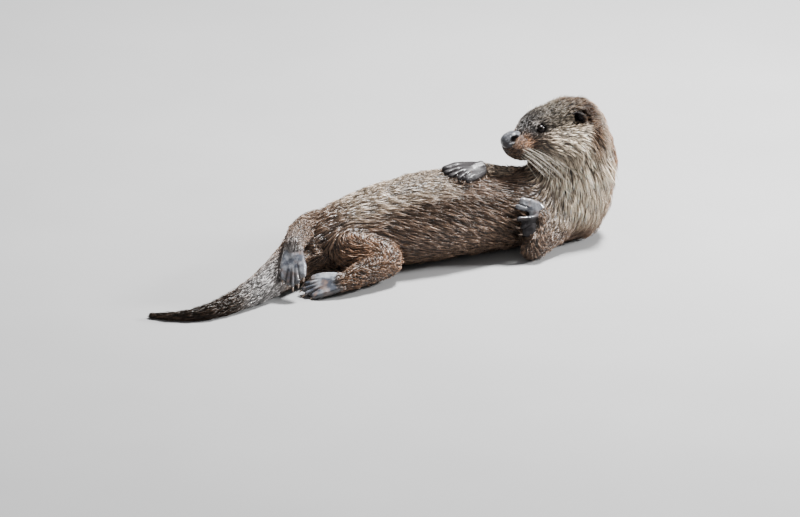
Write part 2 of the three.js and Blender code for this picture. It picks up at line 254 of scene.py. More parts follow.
def read(items, name, width, kind=float):
    """One property of all of a mesh's items, with a row of an array for each."""
    out = np.empty(len(items) * width, kind)
    items.foreach_get(name, out)
    return out.reshape(-1, width)


def places_of(mesh):
    return read(mesh.vertices, "co", 3)


def normals_of(mesh):
    return read(mesh.vertex_normals, "vector", 3)


def edges_of(mesh):
    return read(mesh.edges, "vertices", 2, np.int64)


def move_to(mesh, places):
    mesh.vertices.foreach_set("co", np.ascontiguousarray(places, float).ravel())
    mesh.update()


def store(mesh, name, values, kind="FLOAT"):
    """A value for each vertex, for the material to read."""
    made = mesh.attributes.new(name, kind, "POINT")
    key = "color" if kind == "FLOAT_COLOR" else "value"
    made.data.foreach_set(key, np.ascontiguousarray(values, float).ravel())


def edit_whole(obj, operator, **settings):
    """Runs an edit mode operator on all of one object's mesh."""
    select_only(obj)
    bpy.ops.object.mode_set(mode="EDIT")
    bpy.ops.mesh.select_all(action="SELECT")
    operator(**settings)
    bpy.ops.object.mode_set(mode="OBJECT")


def apply_modifier(obj, kind, **settings):
    modifier = obj.modifiers.new(kind.lower(), kind)
    for key, value in settings.items():
        setattr(modifier, key, value)
    select_only(obj)
    bpy.ops.object.modifier_apply(modifier=modifier.name)


def spread(values, edges, rounds, strength=0.5):
    """Values per vertex, each drawn towards the mean of its neighbours."""
    values = np.array(values, float)
    flat = values.reshape(len(values), -1)
    count = len(flat)
    degree = np.bincount(edges.ravel(), minlength=count).clip(1)
    pull = np.broadcast_to(np.asarray(strength, float), (count,))[:, None]
    for _ in range(rounds):
        total = np.stack(
            [
                np.bincount(edges[:, 0], flat[edges[:, 1], k], count)
                + np.bincount(edges[:, 1], flat[edges[:, 0], k], count)
                for k in range(flat.shape[1])
            ],
            axis=1,
        )
        flat += pull * (total / degree[:, None] - flat)
    return flat.reshape(values.shape)


def smoothed(places, edges, rounds, strength):
    """Places with small bumps and facets gone, and the volume kept."""
    for _ in range(rounds):
        places = spread(places, edges, 1, 0.5 * strength)
        places = spread(places, edges, 1, -0.52 * strength)
    return places


def flesh_copy(name, nodes, swell):
    """The flesh solids as one object, each a little larger than it is, so that they overlap."""
    joined = bmesh.new()
    for node in nodes:
        part = bmesh.new()
        part.from_mesh(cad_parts[node].data)
        bmesh.ops.remove_doubles(part, verts=part.verts, dist=1e-6)
        part.normal_update()
        for vert in part.verts:
            vert.co += vert.normal * swell * min(vert.calc_shell_factor(), 1.6)
        mesh = bpy.data.meshes.new(node)
        part.to_mesh(mesh)
        part.free()
        joined.from_mesh(mesh)
        bpy.data.meshes.remove(mesh)
    mesh = bpy.data.meshes.new(name)
    joined.to_mesh(mesh)
    joined.free()
    return add_object(name, mesh)


def nearest_nodes(points):
    """For each place, the index in FLESH of the solid whose surface is nearest."""
    places, faces, owner = [], [], []
    for index, node in enumerate(FLESH):
        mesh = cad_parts[node].data
        start = len(places)
        places.extend(v.co.copy() for v in mesh.vertices)
        for polygon in mesh.polygons:
            faces.append([start + i for i in polygon.vertices])
            owner.append(index)
    tree = BVHTree.FromPolygons(places, faces)
    return np.array([owner[tree.find_nearest(Vector(p))[2]] for p in points])


def belongs(label, *kinds):
    """Whether each vertex's solid is of one of these kinds."""
    return np.array([node.startswith(kinds) for node in FLESH])[label]


# ---- The survey: what the coat is like at each vertex of the skin ----
SIZES = ("depth", "length", "width", "lift", "density")
# Depth of coat over the skin, and each lock's length, width and lift in millimetres; locks per
# square millimetre.
COAT_BY_NODE = {
    "head": (1.5, 11.5, 0.85, 1.6, 1.1),
    "neck": (2.8, 24.0, 1.1, 3.2, 0.90),
    "chest": (2.6, 25.0, 1.0, 2.4, 0.50),
    "belly": (2.6, 25.0, 1.0, 2.4, 0.58),
    "tail_base": (2.4, 30.0, 1.0, 1.6, 0.62),
    "tail_middle": (2.2, 20.0, 1.0, 1.7, 0.72),
    "tail_tip": (1.6, 12.0, 0.9, 1.3, 0.85),
    "thigh": (2.0, 16.0, 1.0, 2.0, 0.72),
    "shank": (1.5, 11.0, 0.9, 1.5, 0.9),
    "upper_arm": (1.9, 14.0, 1.0, 1.8, 0.72),
    "forearm": (1.1, 8.0, 0.8, 1.1, 1.0),
    "forepaw": (0.15, 3.4, 0.5, 0.4, 1.2),
    "hindpaw": (0.15, 3.4, 0.5, 0.4, 1.2),
    "ear": (0.4, 4.5, 0.7, 0.9, 2.0),
}
# How each size grows on the cheeks, and in the short hair of the face, as shares of itself.
GROWTH_ON_FACE = {
    "depth": (0.4, -0.7),
    "length": (0.9, -0.52),
    "width": (0.25, -0.12),
    "lift": (0.7, -0.6),
    "density": (-0.2, 0.45),
}


def coat_row(node):
    for name, row in COAT_BY_NODE.items():
        if node == name or node.rsplit("_", 1)[0] == name:
            return row
    raise ValueError(f"no coat is stated for {node}")


def ear_shade(folded):
    """1 in the dark hollow of each ear, in front of its rim."""
    inside = ramp(blob(folded, (-4.5, 32.5, 17), (14, 13.5, 11)), 0.05, 0.4)
    return inside * ramp(folded[:, 0], -16.5, -13.5)


class Zones:
    """Soft masks over the skin, from 0 to 1, that the coat's sizes and its markings share."""

    def __init__(self, points, normals, edges):
        self.label = nearest_nodes(points)
        self.normals = normals
        self.model = to_model(points)
        self.head = to_head(points)
        self.folded = fold(self.head)
        nose_way, _, crown_way = self.head.T
        self.on_head = ramp(nose_way, -45, -20) * ramp(self.model[:, 2], 96, 112)
        self.face = self.on_head * ramp(nose_way, 8, 72)
        self.cheek = self.on_head * ramp(crown_way, 4, -14) * ramp(nose_way, 62, 38)
        self.ear_hole = ear_shade(self.folded)
        self.crease = hump(distance_to_line(self.folded, EAR_CREASE)[0], 2.4)
        paw = belongs(self.label, "forepaw", "hindpaw")
        self.bare = ramp(spread(paw, edges, 34), 0.4, 0.95)
        self.ankle = ramp(spread(paw, edges, 60), 0.03, 0.35)
        self.forearm = spread(belongs(self.label, "forearm"), edges, 6)
        self.left_leg = spread(belongs(self.label, "shank_left", "thigh_left"), edges, 6)


def coat_sizes(zones, edges):
    """The coat's depth, and its locks' length, width, lift and density, at each vertex."""
    nose_way, _, crown_way = zones.head.T
    rows = np.array([coat_row(node) for node in FLESH])
    sizes = dict(zip(SIZES, spread(rows[zones.label], edges, 8).T))
    short = np.maximum(zones.face, 0.9 * blob(zones.folded, (50, 23, 12), (19, 19, 17)))
    for size, (on_cheek, in_short) in GROWTH_ON_FACE.items():
        sizes[size] = sizes[size] * (1 + on_cheek * zones.cheek) * (1 + in_short * short)

    # Round the eyes and the nose the skin meets other pieces, so it stays where it is.
    eye_rim = blob(zones.folded, EYE_IN_HEAD, (13, 13, 13))
    nose_rim = blob(zones.folded, (86, 0, 1), (20, 20, 18))
    sizes["depth"] = sizes["depth"] * (1 - eye_rim) * (1 - nose_rim)

    # The hair stands up on the crown, and leaves the ears' hollows and the bare skin open.
    crown = zones.on_head * np.maximum(ramp(crown_way, 14, 30), ramp(nose_way, 0, -25))
    before_ear = blob(zones.folded, (2, 31, 16), (14, 11, 12))
    sizes["lift"] = sizes["lift"] * (1 + 0.9 * crown * (1 - zones.face)) * (1 - 0.6 * before_ear)
    sizes["length"] = sizes["length"] * (1 - 0.6 * np.maximum(before_ear, zones.ear_hole))
    thinning = ((0.95, ramp(zones.ear_hole, 0.3, 0.9)), (0.6, zones.crease))
    for share, mask in thinning:
        sizes["density"] = sizes["density"] * (1 - share * mask)
    sizes["density"] = sizes["density"] * (1 - ramp(zones.bare, 0.15, 0.95))
    return sizes


def markings(zones):
    """The shares of pale, rusty, dark and silvery colour, and how even the locks' tones are. Parts
    of the pale and silvery shares are painted light and sheen, and parts of the dark share are
    painted shade.

    A ramp gives where a mark starts and where it is full, and a blob its middle and its half sizes,
    in millimetres; nx, ny and nz are the way that the skin faces.
    """
    folded, bare, on_head, face = zones.folded, zones.bare, zones.on_head, zones.face
    nose_way, _, crown_way = zones.head.T
    x, y, z = zones.model.T
    nx, ny, nz = zones.normals.T

    # The head and the neck.
    throat = on_head * ramp(crown_way, -6, -24) * ramp(nose_way, 66, 40)
    neck = ramp(x, 118, 160) * ramp(z, 25, 60)
    front = ramp(-nx, -0.35, 0.45)
    nape = ramp(nx, 0.45, 0.95) * neck
    behind_ear = on_head * ramp(nose_way, -2, -16) * ramp(crown_way, -38, -12)
    top = on_head * ramp(crown_way, -2, 14)
    forehead = top * ramp(nose_way, 2, 28)
    before_eye = blob(folded, (61, 19, 14), (15, 11, 13))
    from_rim, _ = distance_to_line(folded, EAR_RIM)

    # The body, the limbs and the tail.
    left_side = ramp(-y, 10, 40)
    # Painted shade: the flank darkens where it faces sideways, towards the near side.
    flank_shade = ramp(nz, 0.95, 0.4) * ramp(nz, 0.0, 0.45) * ramp(-ny, 0, 0.4)
    flank_shade = flank_shade * ramp(x, -130, 0) * ramp(x, 118, 100) * (1 - zones.forearm)
    # The belly is paler where it faces up: painted light from above.
    belly = ramp(x, -150, -110) * ramp(x, 50, 0) * ramp(nz, 0.3, 0.8)
    # Painted shadow: the chest under the head and the far arm, darkened as the shadow they cast.
    chest_shadow = ramp(x, 60, 85) * ramp(x, 140, 110) * (1 - on_head) * (1 - bare)
    hind = ramp(x, -60, -120)
    # Painted shade on the near knee.
    knee_shade = ramp(x, -118, -135) * ramp(-y, 45, 60) * (1 - bare)
    tail_end = ramp(x, -290, -335)
    # Painted sheen: the tail's root is silvered on its near side only, as its wet sheen.
    tail_root_sheen = ramp(x, -205, -258) * (1 - tail_end) * ramp(-ny, -0.7, 0.2)

    pale = strongest(
        0.53 * zones.cheek,
        0.9 * throat,
        neck * (0.8 + 0.2 * front) * (1 - 0.85 * nape),
        0.35 * zones.forearm * (1 - left_side),
        # Painted light on the belly's upward faces.
        0.4 * belly * ramp(-y, 56, 38),
    )
    rust = strongest(
        0.9 * blob(folded, (75, 14, -4), (19, 15, 16)),
        behind_ear * ramp(crown_way, 40, 24),
        0.8 * nape,
        0.8 * belongs(zones.label, "ear"),
        0.48 * zones.left_leg,
        0.7 * top * ramp(nose_way, 22, 2),
        0.95 * hump(from_rim, 6),
    )
    silver = strongest(
        0.45 * forehead,
        0.7 * before_eye,
        # Painted sheen on the near side of the tail's root.
        0.85 * tail_root_sheen,
        0.8 * hind * zones.ankle * (1 - bare),
    )
    # Some dark marks lie under the ears' fair rims and the fair patch before the eyes, and the rest
    # over them. The rims carry rust hair, lifted out of the dark as a painted highlight on their
    # lit edges.
    dark = strongest(
        0.75 * blob(folded, (52, 24, 10), (13, 12, 10)),
        0.6 * blob(folded, (60, 21, 3), (12, 9, 7)),
        0.35 * face,
        0.7 * blob(zones.head, (78, 0, -26), (18, 15, 9)),
        0.35 * zones.forearm * left_side,
        0.9 * tail_end,
    )
    dark = strongest(
        # Painted highlight: the dark is lifted off the ears' rims, where their edges catch the
        # light.
        dark * (1 - 0.6 * hump(from_rim, 5)),
        # Painted shade in each ear's hollow.
        zones.ear_hole,
        0.97 * top,
        0.72 * behind_ear,
        0.6 * blob(folded, (20, 30, -24), (26, 22, 12)),
    )
    dark = strongest(
        dark * (1 - 0.4 * before_eye),
        # Painted shade in the crease behind each ear.
        0.95 * zones.crease,
        # Painted shade on the near knee.
        0.3 * knee_shade * (1 - zones.ankle),
        # Painted shade on the near flank.
        0.68 * flank_shade,
        # Painted shadow on the chest under the head and the far arm.
        0.3 * chest_shadow * (1 - zones.forearm),
    )

    # Bare skin: pale on the hind feet, and paler where they face up as painted light from above;
    # the upper digits of the left hand paled as painted light and its lower digits darkened as
    # painted shade; dark on the rest.
    left_hand = bare * ramp(x, 30, 60) * ramp(-y, 20, 40)
    right_hand = bare * ramp(x, -60, 0) * (1 - left_hand)
    hind_feet_pale_and_lit = hind * (0.3 + 0.7 * ramp(nz, -0.2, 0.8))
    hide = bare * np.maximum(hind_feet_pale_and_lit, 0.5 * left_hand * ramp(z, 56, 61))
    silver = silver * (1 - bare) + hide
    dark = strongest(
        dark * (1 - bare), 0.85 * left_hand * ramp(z, 60, 54), 0.7 * right_hand
    )
    even = 0.4 * strongest(forehead, flank_shade, tail_root_sheen)
    return np.stack([pale, rust, dark, silver], axis=1), even


def survey(points, normals, edges):
    """Fields over the skin: the coat's sizes, its markings and where it is bare."""
    zones = Zones(points, normals, edges)
    marks, even = markings(zones)
    return {
        **coat_sizes(zones, edges),
        "marks": spread(marks, edges, 4),
        "even": even,
        "bare": zones.bare,
        "on_head": zones.on_head,
        "label": zones.label,
        "head": zones.head,
    }


FLOW_FALL = 2.2  # how fast a line loses its hold on the hair, with distance over its radius
FLOW_BATCH = 20000


def lie_of_coat(points, normals, edges):
    """The direction in which the hair lies at each vertex, along the surface."""
    head_line = np.array(HEAD_LINE, float)
    head_line[:, :3] = head_to_model(head_line[:, :3])
    model = to_model(points)
    flow = np.zeros_like(points)
    for line in (head_line, BODY_LINE, *LIMB_LINES.values()):
        at, ahead, radius = sampled(line)
        for start in range(0, len(points), FLOW_BATCH):
            part = slice(start, start + FLOW_BATCH)
            away = np.linalg.norm(model[part, None, :] - at[None], axis=2) / radius[None]
            flow[part] += np.exp(-FLOW_FALL * (away**2 - 1)) @ ahead
    flow = unit(flow)
    # On the trunk the locks slant towards the midline of the belly, which is uppermost. Behind the
    # mouth they turn down over the cheek to the throat, and round the neck they hang straight down.
    nose_way, _, crown_way = to_head(points).T
    x, _, z = model.T
    trunk = ramp(x, -205, -150) * ramp(x, 150, 100)
    cheek = ramp(crown_way, 6, -12) * ramp(nose_way, 72, 50) * ramp(z, 96, 112)
    neck = ramp(x, 122, 150) * ramp(z, 30, 62) * ramp(z, 136, 112)
    leans = (
        (0.5, trunk, (0.0, -0.3, 0.95)),
        (0.7, cheek, np.array(HEAD_TURN) @ np.array([-0.3, 0, -0.95])),
        (1.1, neck, (0.45, -0.1, -0.88)),
    )
    for strength, mask, way in leans:
        flow = flow + strength * mask[:, None] * np.array(way)
    flow = spread(unit(along_surface(flow, normals)), edges, 12)
    return unit(along_surface(flow, normals))


# ---- The forms of the skin: lids, ears, toes and mouth ----
def outward_at_eye(side):
    """The way an eye looks out of the head."""
    y = 1 if side == "left" else -1
    return (HEAD_TURN @ Vector((0.42, 0.83 * y, 0.30))).normalized()


LID_REACH = 11 * MM  # how far from an eye's centre the skin is drawn into lids
LID_RADIUS = 6.15  # of the lids' outer side round the eye's centre, in millimetres
LID_INSIDE = 5.2  # of the skin that is drawn back into the eye, in millimetres


def shape_lids(places, normals):
    """Draws the skin round each eye into two lids that hug it."""
    places = places.copy()
    for side, centre in EYES.items():
        axis = np.array(outward_at_eye(side))
        forward = np.array(HEAD_TURN @ Vector((1, 0, -0.25)))
        forward = unit(forward - axis * forward.dot(axis))
        away = places - np.array(centre)
        reach = np.linalg.norm(away, axis=1)
        near = reach < LID_REACH
        ray = away[near] / reach[near, None]
        lean = np.degrees(np.arccos(np.clip(ray @ axis, -1, 1)))
        flat = unit(ray - (ray @ axis)[:, None] * axis)
        corner = flat @ forward
        upper = flat @ np.array(HEAD_TURN @ Vector((0, 0, 1)))
        # The inner corner, towards the nose, is drawn out further than the outer one.
        opening = 47 + 22 * np.maximum(corner, 0) ** 3 + 10 * np.maximum(-corner, 0) ** 3
        opening = opening - 5 * np.maximum(upper, 0) ** 2
        skin = (LID_RADIUS + 0.75 * hump(lean - opening - 9, 10)) * MM
        radius = reach[near]
        outside = np.maximum(radius, skin)
        outside = outside - 0.35 * MM * hump(lean - opening - 30, 8) * (radius > skin)
        inside = np.minimum(radius, LID_INSIDE * MM)
        share = ramp(lean, opening - 3, opening + 3)
        radius = inside * (1 - share) + outside * share
        places[near] = np.array(centre) + ray * radius[:, None]
    return places


def shape_ears(places, normals):
    """Opens a hollow in front of each ear, with the ear's rim raised over and behind it."""
    folded = fold(to_head(places))
    hollow = 7.5 * blob(folded, EAR_HOLE, (13, 12, 11)) * ramp(folded[:, 0], -17.5, -13.5)
    hollow += 1.2 * hump(distance_to_line(folded, EAR_CREASE)[0], 2.2)
    away, share = distance_to_line(folded, EAR_RIM)
    rim = 2.8 * hump(away, 4.4) * ramp(share, 1.0, 0.75)
    return places + normals * ((rim - hollow) * MM)[:, None]


def claw_nodes(foot):
    return sorted(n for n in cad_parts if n.startswith(f"claw_{foot}"))


def toe_gaps():
    """Each foot's lines between neighbouring toes, in its own plane, with the plane's normal."""
    for foot, line in LIMB_LINES.items():
        tips = to_model(np.array([middle_of(n) for n in claw_nodes(foot)]))
        wrist = np.array(line[3][:3], float)
        normal = unit(np.cross(tips[-1] - tips[0], tips.mean(axis=0) - wrist))
        for a, b in zip(tips, tips[1:]):
            end = (a + b) / 2
            yield wrist, normal, [end, end + (wrist - end) * 0.5]


TOE_REACH = 75  # how far from the wrist a foot's grooves go, in millimetres
TOE_THICKNESS = 16  # how far from its plane they go, in millimetres
TOE_GROOVE = 1.9  # depth between the toes, in millimetres


def shape_toes(places, normals, bare):
    """Presses grooves between the toes, and gives back how deep each place lies in one."""
    model = to_model(places)
    depth = np.zeros(len(places))
    for wrist, normal, line in toe_gaps():
        near = (np.linalg.norm(model - wrist, axis=1) < TOE_REACH) & (bare > 0.2)
        near &= np.abs((model - line[0]) @ normal) < TOE_THICKNESS
        flat = model[near] - ((model[near] - line[0]) @ normal)[:, None] * normal
        away, share = distance_to_line(flat, [p - ((p - line[0]) @ normal) * normal for p in line])
        groove = hump(away, 1.25) * ramp(share, 1.02, 0.3)
        depth[near] = np.maximum(depth[near], groove)
    return places - normals * (TOE_GROOVE * depth * bare * MM)[:, None], depth * bare


def shape_mouth(places, normals):
    """Presses the line of the mouth, and the groove under the nose, into the skin."""
    head = to_head(places)
    folded = fold(head)
    away, share = distance_to_line(folded, MOUTH)
    press = 1.7 * hump(away, 1.7) * (1 - 0.6 * share)
    lip = 0.9 * hump(away - 4.2, 2.4) * (folded[:, 2] > -21)
    press += 1.0 * hump(distance_to_line(head, LIP_CLEFT)[0], 1.3)
    return places + normals * ((lip * (share < 0.9) - press) * MM)[:, None]


# ---- Settings ----
class OtterSkinSettings(bpy.types.PropertyGroup):
    voxel: bpy.props.FloatProperty(
        name="Skin detail", description="Size of the smallest form in the skin", default=1.8 * MM,
        min=0.001, unit="LENGTH", precision=5,
    )
    swell: bpy.props.FloatProperty(
        name="Overlap", description="How far each solid is grown so that they fuse into one skin",
        default=0.55 * MM, unit="LENGTH", precision=5,
    )


class OtterCoatSettings(bpy.types.PropertyGroup):
    length: bpy.props.FloatProperty(
        name="Lock length", description="Scales every lock's length", default=1.0, min=0.2, max=3,
    )
    width: bpy.props.FloatProperty(
        name="Lock width", description="Scales every lock's width", default=1.0, min=0.2, max=3,
    )
    clumping: bpy.props.FloatProperty(
        name="Clumping", description="How far wet locks draw together at their tips", default=0.8,
        min=0, max=1, subtype="FACTOR",
    )
    # The roots' dark colour is partly the wet coat's own and partly painted shade deep in the coat,
    # between the strands.
    dark_root_and_shade: bpy.props.FloatVectorProperty(
        name="Root colour", description="Colour at the root of the brown coat", subtype="COLOR",
        default=(0.018, 0.010, 0.006),
    )
    brown: bpy.props.FloatVectorProperty(
        name="Brown", description="Colour at the tip of the brown coat", subtype="COLOR",
        default=(0.245, 0.158, 0.107),
    )
    pale: bpy.props.FloatVectorProperty(
        name="Pale", description="Colour of the cheeks, throat and neck", subtype="COLOR",
        default=(0.92, 0.76, 0.57),
    )
    rust: bpy.props.FloatVectorProperty(
        name="Rust", description="Colour of the muzzle, the nape and round the ears",
        subtype="COLOR", default=(0.33, 0.15, 0.062),
    )
    # At the tail's root this colour is a painted sheen on its near side.
    silver: bpy.props.FloatVectorProperty(
        name="Silver", description="Colour of the forehead and the root of the tail",
        subtype="COLOR", default=(0.57, 0.55, 0.545),
    )


class OtterStageSettings(bpy.types.PropertyGroup):
    azimuth: bpy.props.FloatProperty(
        name="Azimuth", description="Where the camera stands round the otter",
        default=math.radians(-25), subtype="ANGLE",
    )
    elevation: bpy.props.FloatProperty(
        name="Elevation", description="How high above the floor's level the camera stands",
        default=math.radians(20), subtype="ANGLE",
    )
    lens: bpy.props.FloatProperty(
        name="Lens", description="Focal length of the camera, in millimetres", default=1000,
    )
    span: bpy.props.FloatProperty(
        name="Span", description="Width of what the camera sees at the otter", default=1.04,
        unit="LENGTH",
    )


# ---- Materials ----
LOW_SPECULAR = 0.12  # of hair and bare skin, whose gloss is in the wet layer over them


class Tree:
    """Adds nodes to a node tree, and links or sets their inputs by name."""

    def __init__(self, tree):
        self.tree = tree

    def give(self, socket, value):
        """Links a socket to an output, or sets it to a plain value."""
        if isinstance(value, bpy.types.NodeSocket):
            self.tree.links.new(value, socket)
        else:
            socket.default_value = value

    def fill(self, node, inputs):
        for key, value in inputs.items():
            self.give(node.inputs[key], value)

    def add(self, kind, inputs=None, **settings):
        node = self.tree.nodes.new(kind)
        for key, value in settings.items():
            setattr(node, key, value)
        self.fill(node, inputs or {})
        return node

    def math(self, operation, a, b=0.5, clamp=False):
        node = self.add("ShaderNodeMath", {0: a, 1: b}, operation=operation, use_clamp=clamp)
        return node.outputs[0]

    def times(self, a, b, clamp=False):
        return self.math("MULTIPLY", a, b, clamp)

    def minus(self, a, b, clamp=False):
        return self.math("SUBTRACT", a, b, clamp)

    def vector_math(self, operation, a, b):
        return self.add("ShaderNodeVectorMath", {0: a, 1: b}, operation=operation).outputs[0]

    def mix(self, share, a, b, blend="MIX"):
        """Mixes two colours, each an output or its red, green and blue."""
        node = self.add("ShaderNodeMix", {"Factor": share}, data_type="RGBA", blend_type=blend)
        for socket, colour in ((node.inputs[6], a), (node.inputs[7], b)):
            self.give(socket, colour if isinstance(colour, bpy.types.NodeSocket) else (*colour, 1))
        return node.outputs[2]

    def range(self, value, low, high, new_low=0.0, new_high=1.0):
        ends = {"From Min": low, "From Max": high, "To Min": new_low, "To Max": new_high}
        return self.add("ShaderNodeMapRange", {"Value": value, **ends}).outputs[0]

    def place(self):
        return self.add("ShaderNodeTexCoord").outputs["Object"]

    def noise(self, place, scale, detail=3):
        inputs = {"Vector": place, "Scale": scale, "Detail": detail, "Roughness": 0.6}
        return self.add("ShaderNodeTexNoise", inputs).outputs["Fac"]

    def attribute(self, name):
        return self.add("ShaderNodeAttribute", attribute_name=name).outputs

    def split(self, colour):
        return self.add("ShaderNodeSeparateColor", {"Color": colour}).outputs

    def grey(self, value):
        parts = {"Red": value, "Green": value, "Blue": value}
        return self.add("ShaderNodeCombineColor", parts).outputs[0]

    def bump(self, height, strength, distance):
        inputs = {"Height": height, "Strength": strength, "Distance": distance}
        return self.add("ShaderNodeBump", inputs).outputs[0]

    def group(self, group, inputs):
        return self.add("ShaderNodeGroup", inputs, node_tree=group).outputs


def new_group(name, inputs, outputs):
    """An empty node group with named sockets."""
    old = bpy.data.node_groups.get(name)
    if old:
        bpy.data.node_groups.remove(old)
    group = bpy.data.node_groups.new(name, "ShaderNodeTree")
    for socket, kind, value in inputs:
        made = group.interface.new_socket(socket, in_out="INPUT", socket_type=kind)
        made.default_value = value
    for socket, kind in outputs:
        group.interface.new_socket(socket, in_out="OUTPUT", socket_type=kind)
    tree = Tree(group)
    return group, tree, tree.add("NodeGroupInput").outputs, tree.add("NodeGroupOutput")


def coat_colour_group(look):
    """The coat's markings: a colour from the markings, the place along a lock and its tone."""
    group, tree, given, result = new_group(
        "Coat colour",
        [
            ("Markings", "NodeSocketColor", (0, 0, 0, 1)),
            ("Silver", "NodeSocketFloat", 0.0),
            ("Along", "NodeSocketFloat", 0.5),
            ("Tone", "NodeSocketFloat", 0.5),
        ],
        [("Color", "NodeSocketColor")],
    )
    parts = tree.split(given["Markings"])
    pale, rusty, dark = parts["Red"], parts["Green"], parts["Blue"]
    place = tree.place()
    patch = tree.noise(place, 38, 3)
    fine = tree.noise(place, 420, 2)
    tip = tree.mix(given["Silver"], look.brown, look.silver)
    tip = tree.mix(pale, tip, look.pale)
    rusty = tree.times(rusty, tree.range(patch, 0.35, 0.65, 0.6, 1.15), True)
    tip = tree.mix(rusty, tip, look.rust)
    # Roots take the dark root colour: partly the wet coat's own, partly painted shade deep in the
    # coat.
    colour = tree.mix(tree.math("POWER", given["Along"], 1.4), look.dark_root_and_shade, tip)
    tone = tree.range(tree.math("POWER", given["Tone"], 2.0), 0, 1, 0.06, 2.7)
    tone = tree.times(tone, tree.range(patch, 0.3, 0.7, 0.85, 1.15))
    tone = tree.times(tone, tree.range(fine, 0.3, 0.7, 0.9, 1.1))
    tone = tree.times(tone, tree.minus(1.0, tree.times(dark, 0.9)))
    colour = tree.mix(1.0, colour, tree.grey(tone), "MULTIPLY")
    tree.fill(result, {"Color": tree.mix(1.0, colour, (0.95, 0.95, 0.95), "DARKEN")})
    return group


def leather_group():
    """Bare wet skin: fine creases and pebbles. Gives a mask of the creases and a height."""
    group, tree, given, result = new_group(
        "Bare skin",
        [("Scale", "NodeSocketFloat", 700.0)],
        [("Creases", "NodeSocketFloat"), ("Height", "NodeSocketFloat")],
    )
    place = tree.place()
    wobble = tree.add("ShaderNodeTexNoise", {"Vector": place, "Scale": 300.0, "Detail": 2.0})
    bent = tree.vector_math("MULTIPLY", wobble.outputs["Color"], (0.0012,) * 3)
    bent = tree.vector_math("ADD", place, bent)
    inputs = {"Vector": bent, "Scale": given["Scale"]}
    cells = tree.add("ShaderNodeTexVoronoi", inputs, feature="DISTANCE_TO_EDGE")
    creases = tree.range(cells.outputs["Distance"], 0.0, 0.16, 1.0, 0.0)
    height = tree.minus(tree.times(tree.noise(place, 160, 4), 0.8), creases)
    tree.fill(result, {"Creases": creases, "Height": height})
    return group


def new_material(name):
    old = bpy.data.materials.get(name)
    if old:
        bpy.data.materials.remove(old)
    material = bpy.data.materials.new(name)
    material.use_nodes = True
    material.node_tree.nodes.clear()
    tree = Tree(material.node_tree)
    shader = tree.add("ShaderNodeBsdfPrincipled")
    tree.add("ShaderNodeOutputMaterial", {"Surface": shader.outputs[0]})
    return material, tree, shader


def coat_material(look):
    material, tree, shader = new_material("wet_coat")
    marks = tree.attribute("marks")
    tone = tree.attribute("tone")["Fac"]
    colour = tree.group(
        coat_colour_group(look),
        {
            "Markings": marks["Color"],
            "Silver": marks["Alpha"],
            "Along": tree.attribute("along")["Fac"],
            "Tone": tone,
        },
    )["Color"]
    dark = tree.split(marks["Color"])["Blue"]
    tree.fill(shader, {
        "Base Color": colour,
        "Roughness": tree.range(tone, 0, 1, 0.46, 0.28),
        "Specular IOR Level": LOW_SPECULAR,
        "Coat Weight": tree.minus(1.0, dark, True),
        "Coat Roughness": 0.34,
    })
    return material


def skin_material():
    """The hide under the coat and the bare skin of the feet, with the coat's own markings."""
    material, tree, shader = new_material("otter_skin")
    marks = tree.attribute("marks")
    fair_share = marks["Alpha"]
    bare = tree.attribute("bare")["Fac"]
    # The lids' and lips' dark wet rims, and painted shade in the ears' hollows and between the
    # toes.
    wet_rims_and_painted_shade = tree.attribute("lips")["Fac"]
    place = tree.place()
    streak = tree.noise(place, 260, 3)
    under_coat = tree.group(
        bpy.data.node_groups["Coat colour"],
        {
            "Markings": marks["Color"],
            "Silver": fair_share,
            "Along": tree.range(streak, 0.3, 0.7, 0.12, 0.5),
            "Tone": streak,
        },
    )["Color"]
    leather = tree.group(leather_group(), {"Scale": 620.0})
    mottle = tree.noise(place, 55, 4)
    dull = tree.mix(tree.range(mottle, 0.35, 0.65), (0.010, 0.009, 0.008), (0.035, 0.030, 0.027))
    # The fair hide is partly the hind feet's own colour and partly painted light on the tops of the
    # hind feet and the left hand's upper digits.
    fair = tree.mix(tree.range(mottle, 0.42, 0.6), (0.05, 0.058, 0.076), (0.385, 0.40, 0.435))
    flush = tree.times(tree.range(tree.noise(place, 80, 3), 0.5, 0.66), 0.65)
    fair = tree.mix(flush, fair, (0.20, 0.125, 0.09))
    hide = tree.mix(fair_share, dull, fair)
    dark = tree.times(tree.split(marks["Color"])["Blue"], 0.85)
    hide = tree.mix(dark, hide, (0.012, 0.011, 0.012))
    # Painted shade darkens the fine creases of the bare skin.
    hide = tree.mix(tree.times(leather["Creases"], 0.6), hide, (0.02, 0.018, 0.02))
    rough = tree.minus(0.62, tree.times(bare, 0.2))
    height = tree.math("ADD", tree.times(leather["Height"], bare), tree.times(streak, 0.8))
    tree.fill(shader, {
        "Base Color": tree.mix(wet_rims_and_painted_shade, tree.mix(bare, under_coat, hide), (0.012, 0.010, 0.010)),
        "Roughness": tree.minus(rough, tree.times(wet_rims_and_painted_shade, 0.3), True),
        "Specular IOR Level": LOW_SPECULAR,
        "Coat Weight": tree.times(bare, tree.range(fair_share, 0, 0.4, 0.08, 1.0)),
        "Coat Roughness": 0.17,
        "Normal": tree.bump(height, 0.6, 0.0004),
    })
    return material


